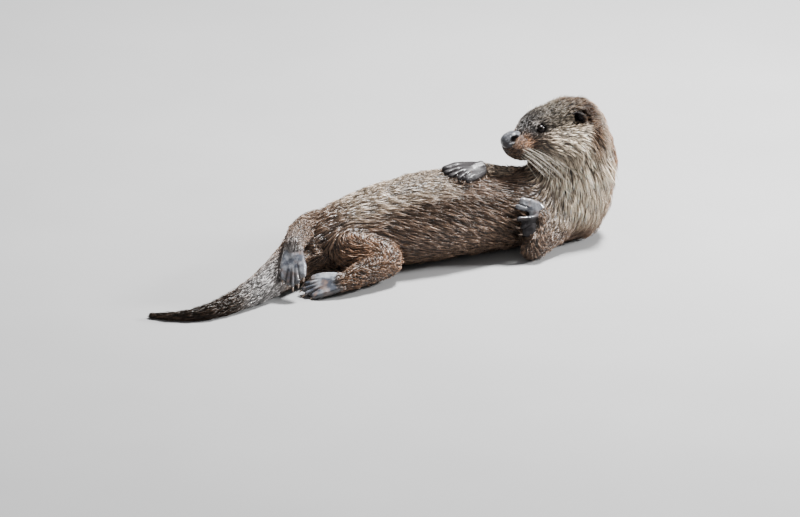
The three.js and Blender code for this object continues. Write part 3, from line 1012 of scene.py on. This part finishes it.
def nose_material():
    material, tree, shader = new_material("nose_leather")
    leather = tree.group(leather_group(), {"Scale": 900.0})
    mottle = tree.noise(tree.place(), 120, 3)
    colour = tree.mix(tree.range(mottle, 0.35, 0.7), (0.022, 0.023, 0.028), (0.075, 0.078, 0.092))
    # Painted shade darkens the fine creases of the nose.
    colour = tree.mix(tree.times(leather["Creases"], 0.5), colour, (0.006, 0.006, 0.008))
    tree.fill(shader, {
        # The nostrils are painted near black: painted shade in their hollows.
        "Base Color": tree.mix(tree.attribute("hollow")["Fac"], colour, (0.003, 0.002, 0.002)),
        "Roughness": tree.range(mottle, 0.3, 0.7, 0.28, 0.42),
        "Specular IOR Level": 0.4,
        "Coat Weight": 0.2,
        "Coat Roughness": 0.2,
        "Normal": tree.bump(leather["Height"], 0.7, 0.0003),
    })
    return material


def eye_material():
    material, tree, shader = new_material("wet_eye")
    lean = tree.attribute("lean")["Fac"]
    fibres = tree.range(tree.noise(tree.place(), 900, 3), 0.3, 0.7)
    iris = tree.mix(fibres, (0.006, 0.005, 0.005), (0.017, 0.013, 0.011))
    colour = tree.mix(tree.range(lean, 15, 17), (0.001, 0.001, 0.001), iris)
    tree.fill(shader, {
        "Base Color": tree.mix(tree.range(lean, 34, 40), colour, (0.004, 0.003, 0.003)),
        "Roughness": 0.12,
        "Specular IOR Level": 0.03,
        "Coat Weight": 0.06,
        "Coat Roughness": 0.02,
    })
    return material


def claw_material():
    material, tree, shader = new_material("claw_horn")
    grain = tree.noise(tree.place(), 900, 3)
    horn = tree.mix(tree.attribute("along")["Fac"], (0.13, 0.085, 0.065), (0.42, 0.335, 0.265))
    tree.fill(shader, {
        "Base Color": tree.mix(tree.times(grain, 0.35), horn, (0.10, 0.06, 0.045)),
        "Roughness": tree.range(grain, 0.3, 0.7, 0.25, 0.4),
    })
    return material


def whisker_material():
    material, tree, shader = new_material("whisker")
    along = tree.attribute("along")["Fac"]
    tree.fill(shader, {
        "Base Color": tree.mix(along, (0.40, 0.36, 0.29), (0.72, 0.68, 0.60)),
        "Roughness": 0.35,
    })
    return material


def finish_piece(obj, material, nodes=()):
    obj.data.materials.clear()
    obj.data.materials.append(material)
    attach(obj, "root")
    if nodes:
        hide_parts(*nodes)


# ---- Operators ----
SKIN_BELOW = 0.35  # how far the skin lies below the roots, in millimetres


class OTTER_OT_skin(bpy.types.Operator):
    """Fuses the flesh into one skin, with lids, lips and a mouth, under the coat"""

    bl_idname = "otter.skin"
    bl_label = "Skin"

    def execute(self, context):
        settings = context.scene.otter_skin
        skin = flesh_copy("skin", FLESH, settings.swell)
        apply_modifier(skin, "REMESH", mode="VOXEL", voxel_size=settings.voxel)
        mesh = skin.data
        places, edges = places_of(mesh), edges_of(mesh)
        fields = survey(places, normals_of(mesh), edges)
        body = 1 - np.maximum(fields["on_head"] * 0.3, fields["bare"] * 0.8)
        places = smoothed(places, edges, 22, body)
        move_to(mesh, places)
        inset = fields["depth"] + SKIN_BELOW * (1 - fields["bare"])
        places = places - normals_of(mesh) * inset[:, None] * MM
        move_to(mesh, smoothed(places, edges, 6, body))
        self.refine_face(skin)
        mesh = skin.data
        for shape in (shape_mouth, shape_ears, shape_lids):
            places = shape(places_of(mesh), normals_of(mesh))
            move_to(mesh, places)
        fields = survey(places, normals_of(mesh), edges_of(mesh))
        places, gaps = shape_toes(places, normals_of(mesh), fields["bare"])
        places[:, 2] = np.maximum(places[:, 2], 0.0)
        move_to(mesh, places)
        fields = survey(places, normals_of(mesh), edges_of(mesh))
        store(mesh, "marks", fields["marks"], "FLOAT_COLOR")
        store(mesh, "bare", fields["bare"])
        # The grooves between the toes are darkened with the rims, as painted shade.
        store(mesh, "lips", np.maximum(self.dark_rims(fields["head"], places), 0.95 * gaps**0.7))
        mesh.shade_smooth()
        coat_material(context.scene.otter_coat)
        finish_piece(skin, skin_material(), FLESH)
        return {"FINISHED"}

    def refine_face(self, skin):
        """Divides the faces of the muzzle, the ears, the paws and round the eyes."""
        mesh = skin.data
        places = places_of(mesh)
        head = to_head(places)
        chosen = (head[:, 0] > 40) & (np.abs(head[:, 1]) < 40) & (head[:, 2] > -40)
        chosen |= np.linalg.norm(fold(head) - np.array(EAR_HOLE), axis=1) < 18
        chosen |= belongs(nearest_nodes(places), "forepaw", "hindpaw")
        select_only(skin)
        bpy.ops.object.mode_set(mode="EDIT")
        bpy.ops.mesh.select_all(action="DESELECT")
        bpy.ops.mesh.select_mode(type="VERT")
        bpy.ops.object.mode_set(mode="OBJECT")
        mesh.vertices.foreach_set("select", chosen)
        bpy.ops.object.mode_set(mode="EDIT")
        bpy.ops.mesh.select_mode(type="FACE")
        bpy.ops.mesh.subdivide(number_cuts=1, smoothness=0.6)
        bpy.ops.object.mode_set(mode="OBJECT")

    def dark_rims(self, head, places):
        """Where the wet dark rims of the lids and the lips show, with the painted shade in the
        ears' hollows.
        """
        folded = fold(head)
        away, share = distance_to_line(folded, MOUTH)
        rims = hump(away, 2.0) * (1 - 0.5 * share)
        for centre in EYES.values():
            reach = np.linalg.norm(places - np.array(centre), axis=1) / MM
            rims = np.maximum(rims, ramp(reach, 7.5, 6.6))
        return np.maximum(rims, ear_shade(folded))


# ---- The coat ----
SKIN_KEPT = 0.57  # share of the skin's faces that are kept once the coat is made
LOCKS_PER_PIECE = 18500  # at most, so that each piece stays small enough to be kept whole
UNDER_SHARE = 0.28  # of the locks that stay behind, flat and dark, under the strands; their darkness is partly the wet coat's own and partly painted shade in the gaps
LOCKS_PER_LEADER = 4
NEAR_LEADERS = 7  # how many of the nearest leaders a lock chooses from
LONG_LOCK = 16 * MM  # a lock from this length on draws in fully
EVEN_TONE = 0.54  # what the locks' tones are drawn to where the coat is even
SUNK_ROOT = 0.0002  # how far a lock's root goes into the skin
LOCK_CLEARANCE = 0.0002  # of every lock over the floor
PATCH_SIZE = 0.003  # of a lock's patch on the unwrap

# A lock is a ridge over a flat underside: three corners at the root, three half way, and the tip.
# For each corner, its place along the lock and its place on the lock's patch.
LOCK_ALONG = [0.0, 0.0, 0.05, 0.55, 0.55, 0.6, 1.0]
LOCK_PATCH = [(0, 0), (1, 0), (0.5, 0.1), (0, 0.5), (1, 0.5), (0.5, 0.6), (0.5, 1.0)]
LOCK_QUADS = [(0, 2, 5, 3), (1, 4, 5, 2), (0, 3, 4, 1)]
LOCK_TRIANGLES = [(3, 5, 6), (5, 4, 6), (4, 3, 6), (0, 1, 2)]


def coat_pieces(fields):
    """For each piece of coat, which vertices of the skin it covers."""

    def on(*kinds):
        return belongs(fields["label"], *kinds)

    before_ears = fields["head"][:, 0] >= 22
    upper = fields["normals"][:, 2] >= 0.25
    return {
        "coat_face": on("head", "ear") & before_ears,
        "coat_crown": on("head", "ear") & ~before_ears,
        "coat_neck": on("neck"),
        "coat_chest": on("chest"),
        "coat_belly": on("belly") & upper,
        "coat_flanks": on("belly") & ~upper,
        "coat_tail": on("tail"),
        "coat_legs": on("thigh", "shank", "hindpaw"),
        "coat_arms": on("upper_arm", "forearm", "forepaw"),
    }


def scatter(rng, fields, corners):
    """Spreads locks over triangles: each lock's triangle, and the weights of its three corners."""
    a, b, c = (fields["places"][corners[:, k]] for k in range(3))
    area = np.linalg.norm(np.cross(b - a, c - a), axis=1) / 2 / MM**2
    # Little shows where the otter lies on the floor.
    low = np.minimum(np.minimum(a[:, 2], b[:, 2]), c[:, 2]) / MM
    density = fields["density"][corners].mean(axis=1) * (0.12 + 0.88 * ramp(low, 0.5, 3.0))
    sums = np.cumsum(area * density)
    count = int(min(sums[-1], LOCKS_PER_PIECE))
    at = (np.arange(count) + rng.random(count)) / count * sums[-1]
    chosen = np.minimum(np.searchsorted(sums, at), len(corners) - 1)
    share = rng.random((count, 2))
    share[share.sum(axis=1) > 1] = 1 - share[share.sum(axis=1) > 1]
    return chosen, np.stack([1 - share.sum(axis=1), share[:, 0], share[:, 1]], axis=1)


def choose_leaders(rng, mid, mid_normal, ahead):
    """For each lock, the one to whose tip it leans: the most nearly in line of the nearest few."""
    order = rng.permutation(len(mid))[: max(len(mid) // LOCKS_PER_LEADER, 8)]
    finder = KDTree(len(order))
    for i, j in enumerate(order):
        finder.insert(Vector(mid[j]), i)
    finder.balance()
    found = [[hit[1] for hit in finder.find_n(Vector(p), NEAR_LEADERS)] for p in mid]
    near = order[np.array(found)]
    gap = mid[near] - mid[:, None]
    sideways = np.abs(np.einsum("nkc,nc->nk", gap, np.cross(mid_normal, ahead)))
    lengthways = np.abs(np.einsum("nkc,nc->nk", gap, ahead))
    return near[np.arange(len(mid)), np.argmin(sideways + 0.15 * lengthways, axis=1)]


def onto_skin(tree, points):
    """The nearest places on the skin, with the skin's normals there."""
    out, normals = np.empty_like(points), np.empty_like(points)
    for i, p in enumerate(points):
        out[i], normals[i] = tree.find_nearest(Vector(p))[:2]
    return out, normals


def lock_corners(root, mid, tip, normal, mid_normal, width):
    """The corners of each lock, from its root, its middle and its tip."""
    across_root = unit(np.cross(normal, unit(mid - root)))
    across_mid = unit(np.cross(mid_normal, unit(tip - root)))
    half = (width / 2)[:, None]
    thick = width * 0.42
    verts = np.stack(
        [
            root + across_root * half,
            root - across_root * half,
            root + normal * thick[:, None],
            mid + across_mid * half * 0.85,
            mid - across_mid * half * 0.85,
            mid + mid_normal * (thick * 0.9)[:, None],
            tip,
        ],
        axis=1,
    )
    verts[..., 2] = np.maximum(verts[..., 2], LOCK_CLEARANCE)
    return verts


def locks_object(name, verts):
    """Closed pointed locks as one mesh."""
    each = np.arange(len(verts))[:, None]
    faces = LOCK_QUADS + LOCK_TRIANGLES
    sides = [len(face) for face in faces]
    loops = np.concatenate(faces)
    starts = np.cumsum([0, *sides[:-1]])
    mesh = bpy.data.meshes.new(name)
    mesh.vertices.add(len(verts) * len(LOCK_ALONG))
    mesh.vertices.foreach_set("co", verts.ravel())
    mesh.loops.add(len(verts) * len(loops))
    corners = (loops[None] + each * len(LOCK_ALONG)).ravel().astype(np.int32)
    mesh.loops.foreach_set("vertex_index", corners)
    mesh.polygons.add(len(verts) * len(faces))
    first = (starts[None] + each * len(loops)).ravel().astype(np.int32)
    mesh.polygons.foreach_set("loop_start", first)
    mesh.update(calc_edges=True)
    mesh.validate()
    return add_object(name, mesh)


def map_patches(mesh, places, corners, chosen, weights):
    """Gives each lock a small patch at its root's place on an unwrap of the skin it grows from."""
    used, inverse = np.unique(corners, return_inverse=True)
    sheet = bpy.data.meshes.new("unwrap")
    sheet.from_pydata(places[used].tolist(), [], inverse.reshape(-1, 3).tolist())
    cover = add_object("unwrap", sheet)
    sheet.uv_layers.new(name="OFBake")
    edit_whole(
        cover, bpy.ops.uv.smart_project, angle_limit=1.15, island_margin=0.004, scale_to_bounds=True
    )
    sheet = cover.data
    flat = read(sheet.uv_layers["OFBake"].uv, "vector", 2).reshape(-1, 3, 2)
    root = np.einsum("nk,nkc->nc", weights, flat[chosen])
    bpy.data.objects.remove(cover)
    bpy.data.meshes.remove(sheet)
    patch = np.array(LOCK_PATCH) - 0.5
    made = np.clip((root[:, None, :] + patch[None] * PATCH_SIZE).reshape(-1, 2), 0, 1)
    loops = read(mesh.loops, "vertex_index", 1, np.int32).ravel()
    mesh.uv_layers.new(name="OFBake").uv.foreach_set("vector", made[loops].ravel())


class OTTER_OT_coat(bpy.types.Operator):
    """Lays the coat over the skin in pointed locks that follow the body"""

    bl_idname = "otter.coat"
    bl_label = "Coat"

    def execute(self, context):
        skin = bpy.data.objects.get("skin")
        if skin is None:
            raise RuntimeError("make the skin before the coat")
        mesh = skin.data
        places, normals, edges = places_of(mesh), normals_of(mesh), edges_of(mesh)
        fields = survey(places, normals, edges)
        fields.update(places=places, normals=normals, flow=lie_of_coat(places, normals, edges))
        mesh.calc_loop_triangles()
        corners = read(mesh.loop_triangles, "vertices", 3, np.int64)
        tree = BVHTree.FromPolygons([Vector(p) for p in places], corners.tolist())
        for seed, (name, mine) in enumerate(coat_pieces(fields).items()):
            rng = np.random.default_rng(1000 + seed)
            self.make_piece(context, name, rng, corners[mine[corners[:, 0]]], fields, tree)
        # The coat is rooted on the full skin, which is thinned only now.
        apply_modifier(skin, "DECIMATE", ratio=SKIN_KEPT)
        return {"FINISHED"}

    def make_piece(self, context, name, rng, corners, fields, tree):
        """Scatters one piece's locks, lays them along the skin and draws them into wet strands."""
        settings = context.scene.otter_coat
        chosen, weights = scatter(rng, fields, corners)
        count = len(chosen)

        def over(field):
            return np.einsum("nk,nk...->n...", weights, fields[field][corners[chosen]])

        root = over("places")
        normal = unit(over("normals"))
        flow = unit(over("flow"))
        length = over("length") * MM * settings.length * rng.uniform(0.7, 1.25, count)
        width = over("width") * MM * settings.width * rng.uniform(0.7, 1.3, count)
        lift = over("lift") * MM * rng.uniform(0.45, 1.3, count)
        turn = rng.normal(0, 0.11, count)[:, None]
        ahead = unit(flow * np.cos(turn) + np.cross(normal, flow) * np.sin(turn))
        mid, mid_normal = onto_skin(tree, root + ahead * (length * 0.5)[:, None])
        tip_at = mid + unit(mid - root + 1e-9) * (length * 0.5)[:, None]
        tip, tip_normal = onto_skin(tree, tip_at)

        leader = choose_leaders(rng, mid, mid_normal, ahead)
        under = rng.random(count) < UNDER_SHARE
        pull = settings.clumping * rng.uniform(0.7, 1.15, count) * ~under
        pull = (pull * np.clip(length / LONG_LOCK, 0.3, 1))[:, None]
        tip = tip * (1 - pull) + tip[leader] * pull
        mid = mid * (1 - 0.3 * pull) + mid[leader] * 0.3 * pull
        strand_tone = rng.random(count)[leader]
        tone = 0.6 * strand_tone + 0.4 * rng.random(count)
        tone = tone + over("even") * (EVEN_TONE - tone)
        # The locks under the strands are darkened: partly the wet coat's darkness, partly painted
        # shade in the gaps between strands.
        tone = np.where(under, 0.25 * tone, tone)
        lift = lift * np.where(under, 0.25, 0.55 + 1.6 * strand_tone**4)

        root = root - normal * SUNK_ROOT
        mid = mid + mid_normal * (lift * 0.7)[:, None]
        tip = tip + tip_normal * lift[:, None]
        obj = locks_object(name, lock_corners(root, mid, tip, normal, mid_normal, width))
        mesh = obj.data
        store(mesh, "along", np.tile(LOCK_ALONG, count))
        store(mesh, "tone", np.repeat(tone, len(LOCK_ALONG)))
        store(mesh, "marks", np.repeat(over("marks"), len(LOCK_ALONG), axis=0), "FLOAT_COLOR")
        map_patches(mesh, fields["places"], corners, chosen, weights)
        mesh.shade_smooth()
        finish_piece(obj, bpy.data.materials["wet_coat"])


EYE_RADIUS = 5.95 * MM
CORNEA = 0.55 * MM  # how far it stands out of the globe


class OTTER_OT_eyes(bpy.types.Operator):
    """Makes the two eyes, each a wet globe with a bulging cornea"""

    bl_idname = "otter.eyes"
    bl_label = "Eyes"

    def execute(self, context):
        material = eye_material()
        for side, centre in EYES.items():
            bpy.ops.object.select_all(action="DESELECT")
            bpy.ops.mesh.primitive_uv_sphere_add(segments=40, ring_count=28, radius=EYE_RADIUS)
            eye = context.active_object
            eye.name = f"eyeball_{side}"
            mesh = eye.data
            ray = unit(places_of(mesh))
            lean = np.degrees(np.arccos(np.clip(ray[:, 2], -1, 1)))
            places = ray * (EYE_RADIUS + CORNEA * ramp(lean, 42, 12))[:, None]
            gaze = outward_at_eye(side).to_track_quat("Z", "Y").to_matrix()
            move_to(mesh, places @ np.array(gaze).T + np.array(centre))
            store(mesh, "lean", lean)
            mesh.shade_smooth()
            finish_piece(eye, material, [f"eye_{side}"])
        return {"FINISHED"}


class OTTER_OT_nose(bpy.types.Operator):
    """Makes the bare nose, with its two nostrils and pebbled leather"""

    bl_idname = "otter.nose"
    bl_label = "Nose"

    def execute(self, context):
        nose = flesh_copy("nose_pad", ["nose"], 0.3 * MM)
        apply_modifier(nose, "REMESH", mode="VOXEL", voxel_size=0.65 * MM)
        mesh = nose.data
        edges = edges_of(mesh)
        places = smoothed(places_of(mesh), edges, 10, 1.0)
        move_to(mesh, places)
        head = to_head(places)
        hole, _ = distance_to_line(fold(head), NOSTRIL)
        cleft = 0.7 * hump(distance_to_line(head, NOSE_CLEFT)[0], 1.0)
        raised = 0.5 * hump(hole - 4.8, 1.5) - 4.4 * hump(hole, 3.0) - cleft
        places = places + normals_of(mesh) * (raised * MM)[:, None]
        move_to(mesh, smoothed(places, edges, 2, 0.6))
        # Where the nostrils are painted near black, as painted shade in their hollows.
        store(mesh, "hollow", ramp(hole, 4.2, 2.8))
        mesh.shade_smooth()
        finish_piece(nose, nose_material(), ["nose"])
        return {"FINISHED"}


class OTTER_OT_claws(bpy.types.Operator):
    """Makes the claws, smooth and pointed, one piece for each foot"""

    bl_idname = "otter.claws"
    bl_label = "Claws"

    def execute(self, context):
        material = claw_material()
        for foot in ("fore_left", "fore_right", "hind_left", "hind_right"):
            nodes = claw_nodes(foot)
            claws = flesh_copy(f"claws_{foot}", nodes, 0.05 * MM)
            apply_modifier(claws, "SUBSURF", levels=1, render_levels=1)
            mesh = claws.data
            places = places_of(mesh)
            paw = np.array(middle_of(f"{foot[:4]}paw_{foot[5:]}"))
            along = np.zeros(len(places))
            for node in nodes:
                centre = np.array(middle_of(node))
                mine = np.linalg.norm(places - centre, axis=1) < 7 * MM
                away = (places - centre) @ unit(centre - paw)
                along[mine] = ramp(away[mine], -4 * MM, 4 * MM)
            store(mesh, "along", along)
            mesh.shade_smooth()
            finish_piece(claws, material, nodes)
        return {"FINISHED"}


WHISKER_RINGS = 7
WHISKER_SIDES = 3


def whisker_stems():
    """Each whisker's root and direction in the head's axes, and its length in millimetres."""
    for y in (1, -1):
        for row in range(4):
            for k in range(6):
                root = (78 - 3.4 * k + row * 0.8, y * (15.5 + 0.9 * k), -8 - 2.8 * row - 0.5 * k)
                down = 0.5 + 0.06 * row if y > 0 else 0.2
                yield root, (-0.78, y * (0.45 - 0.05 * k), -down), 26 + 3.4 * k + 2.4 * row
        for k in range(3):
            yield (46 - 3 * k, y * (17 + k), 25), (-0.5, y * 0.55, 0.8), 12 + 3 * k


class OTTER_OT_whiskers(bpy.types.Operator):
    """Makes the whiskers: stiff tapering hairs on the muzzle, the chin and over the eyes"""

    bl_idname = "otter.whiskers"
    bl_label = "Whiskers"

    def execute(self, context):
        rng = np.random.default_rng(7)
        skin = bpy.data.objects["skin"].data
        triangles = [p.vertices[:] for p in skin.polygons]
        tree = BVHTree.FromPolygons([v.co for v in skin.vertices], triangles)
        verts, faces, along = [], [], []
        for root, way, length in whisker_stems():
            self.add_hair(rng, tree, root, way, length, verts, faces, along)
        mesh = bpy.data.meshes.new("whiskers")
        mesh.from_pydata([tuple(v) for v in verts], [], faces)
        mesh.update()
        obj = add_object("whiskers", mesh)
        edit_whole(obj, bpy.ops.mesh.normals_make_consistent, inside=False)
        store(mesh, "along", along)
        mesh.shade_smooth()
        finish_piece(obj, whisker_material())
        return {"FINISHED"}

    def add_hair(self, rng, tree, root, way, length, verts, faces, along):
        """Adds one closed tapering hair that droops, and rides over the coat."""
        head_turn = np.array(HEAD_TURN)
        hit, normal, _, _ = tree.find_nearest(Vector(from_head([root])[0]))
        ahead = unit(head_turn @ np.array(way) + rng.normal(0, 0.1, 3))
        ahead = unit(ahead + 0.25 * np.array(normal))
        droop = head_turn @ np.array((-0.1, 0, -0.45)) + rng.normal(0, 0.05, 3)
        length = length * rng.uniform(0.7, 1.3) * MM
        side = unit(np.cross(ahead, (0.3, 0.2, 0.9)))
        up = np.cross(side, ahead)
        start = len(verts)
        for ring in range(WHISKER_RINGS):
            t = ring / (WHISKER_RINGS - 1)
            middle = np.array(hit) + (ahead * t + droop * t * t * 0.6) * length
            under, out, _, _ = tree.find_nearest(Vector(middle))
            sunk = min(5 * t, 3.4) * MM - (middle - np.array(under)) @ np.array(out)
            middle = middle + np.array(out) * max(sunk, 0)
            radius = (0.27 * (1 - t) ** 0.7 + 0.08) * MM
            for k in range(WHISKER_SIDES):
                angle = k * 2 * math.pi / WHISKER_SIDES
                verts.append(middle + (side * math.cos(angle) + up * math.sin(angle)) * radius)
                along.append(t)
            if ring:
                low = start + (ring - 1) * WHISKER_SIDES
                for k in range(WHISKER_SIDES):
                    a, b = low + k, low + (k + 1) % WHISKER_SIDES
                    faces.append((a, b, b + WHISKER_SIDES, a + WHISKER_SIDES))
        last = len(verts) - WHISKER_SIDES
        faces.append((start + 2, start + 1, start))
        faces.append((last, last + 1, last + 2))


WORLD_COLOUR = (0.97, 0.97, 1.0, 1)
WORLD_STRENGTH = 0.4
# Each light's place, size and power. All of them face the middle of the otter.
LIGHTS = {
    "key": ((1.0, 0.35, 2.0), 0.4, 300),
    "side": ((2.2, -0.5, 0.9), 0.4, 160),
    "fill": ((-2.2, -1.0, 0.9), 1.2, 9),
}


class OTTER_OT_stage(bpy.types.Operator):
    """Sets the pale floor, the soft lights and the camera"""

    bl_idname = "otter.stage"
    bl_label = "Stage"

    def execute(self, context):
        scene = context.scene
        self.floor(context)
        world = bpy.data.worlds.new("studio")
        world.use_nodes = True
        background = world.node_tree.nodes["Background"].inputs
        background["Color"].default_value = WORLD_COLOUR
        background["Strength"].default_value = WORLD_STRENGTH
        scene.world = world
        for name, (place, size, power) in LIGHTS.items():
            self.light(scene, name, Vector(place), size, power)
        self.camera(scene, scene.otter_stage)
        return {"FINISHED"}

    def floor(self, context):
        bpy.ops.object.select_all(action="DESELECT")
        bpy.ops.mesh.primitive_plane_add(size=60)
        floor = context.active_object
        floor.name = "floor"
        material, tree, shader = new_material("studio_floor")
        tint = tree.range(tree.noise(tree.place(), 3, 2), 0.3, 0.7, 0.23, 0.25)
        tree.fill(shader, {"Base Color": tree.grey(tint), "Roughness": 0.8})
        floor.data.materials.append(material)

    def light(self, scene, name, place, size, power):
        data = bpy.data.lights.new(name, "AREA")
        data.energy = power
        data.size = size
        light = bpy.data.objects.new(name, data)
        scene.collection.objects.link(light)
        light.location = place
        way = Vector((0.05, 0, 0.06)) - place
        light.rotation_euler = way.to_track_quat("-Z", "Y").to_euler()

    def camera(self, scene, settings):
        data = bpy.data.cameras.new("camera")
        data.lens = settings.lens
        data.sensor_width = 36
        distance = settings.span * settings.lens / data.sensor_width
        az, el = settings.azimuth, settings.elevation
        right = Vector((math.cos(az), math.sin(az), 0))
        back = Vector((math.sin(az) * math.cos(el), -math.cos(az) * math.cos(el), math.sin(el)))
        # It looks at a place by the floor, a little to the tail's side of the otter's middle.
        target = right * (-52 * MM) + Vector((0, 0, -6.2 * MM)) + SHIFT
        camera = bpy.data.objects.new("camera", data)
        scene.collection.objects.link(camera)
        camera.location = target + back * distance
        camera.rotation_mode = "QUATERNION"
        camera.rotation_quaternion = (-back).to_track_quat("-Z", "Y")
        data.clip_start, data.clip_end = 0.1, distance * 4
        scene.camera = camera


class OTTER_PT_panel(bpy.types.Panel):
    """Lists the pieces of the otter and their settings"""

    bl_idname = "OTTER_PT_panel"
    bl_label = "Otter"
    bl_space_type = "VIEW_3D"
    bl_region_type = "UI"
    bl_category = "Otter"

    def draw(self, context):
        for group in ("otter_skin", "otter_coat", "otter_stage"):
            settings = getattr(context.scene, group)
            for key in settings.__annotations__:
                self.layout.prop(settings, key)
        for operator in OPERATORS:
            self.layout.operator(operator.bl_idname)


OPERATORS = (
    OTTER_OT_skin,
    OTTER_OT_coat,
    OTTER_OT_eyes,
    OTTER_OT_nose,
    OTTER_OT_claws,
    OTTER_OT_whiskers,
    OTTER_OT_stage,
)
CLASSES = (OtterSkinSettings, OtterCoatSettings, OtterStageSettings, *OPERATORS, OTTER_PT_panel)


def register():
    for cls in CLASSES:
        bpy.utils.register_class(cls)
    bpy.types.Scene.otter_skin = bpy.props.PointerProperty(type=OtterSkinSettings)
    bpy.types.Scene.otter_coat = bpy.props.PointerProperty(type=OtterCoatSettings)
    bpy.types.Scene.otter_stage = bpy.props.PointerProperty(type=OtterStageSettings)


def unregister():
    del bpy.types.Scene.otter_stage
    del bpy.types.Scene.otter_coat
    del bpy.types.Scene.otter_skin
    for cls in reversed(CLASSES):
        bpy.utils.unregister_class(cls)


def main():
    register()
    bpy.ops.otter.skin()
    bpy.ops.otter.coat()
    bpy.ops.otter.eyes()
    bpy.ops.otter.nose()
    bpy.ops.otter.claws()
    bpy.ops.otter.whiskers()
    bpy.ops.otter.stage()


if __name__ == "__main__":
    main()
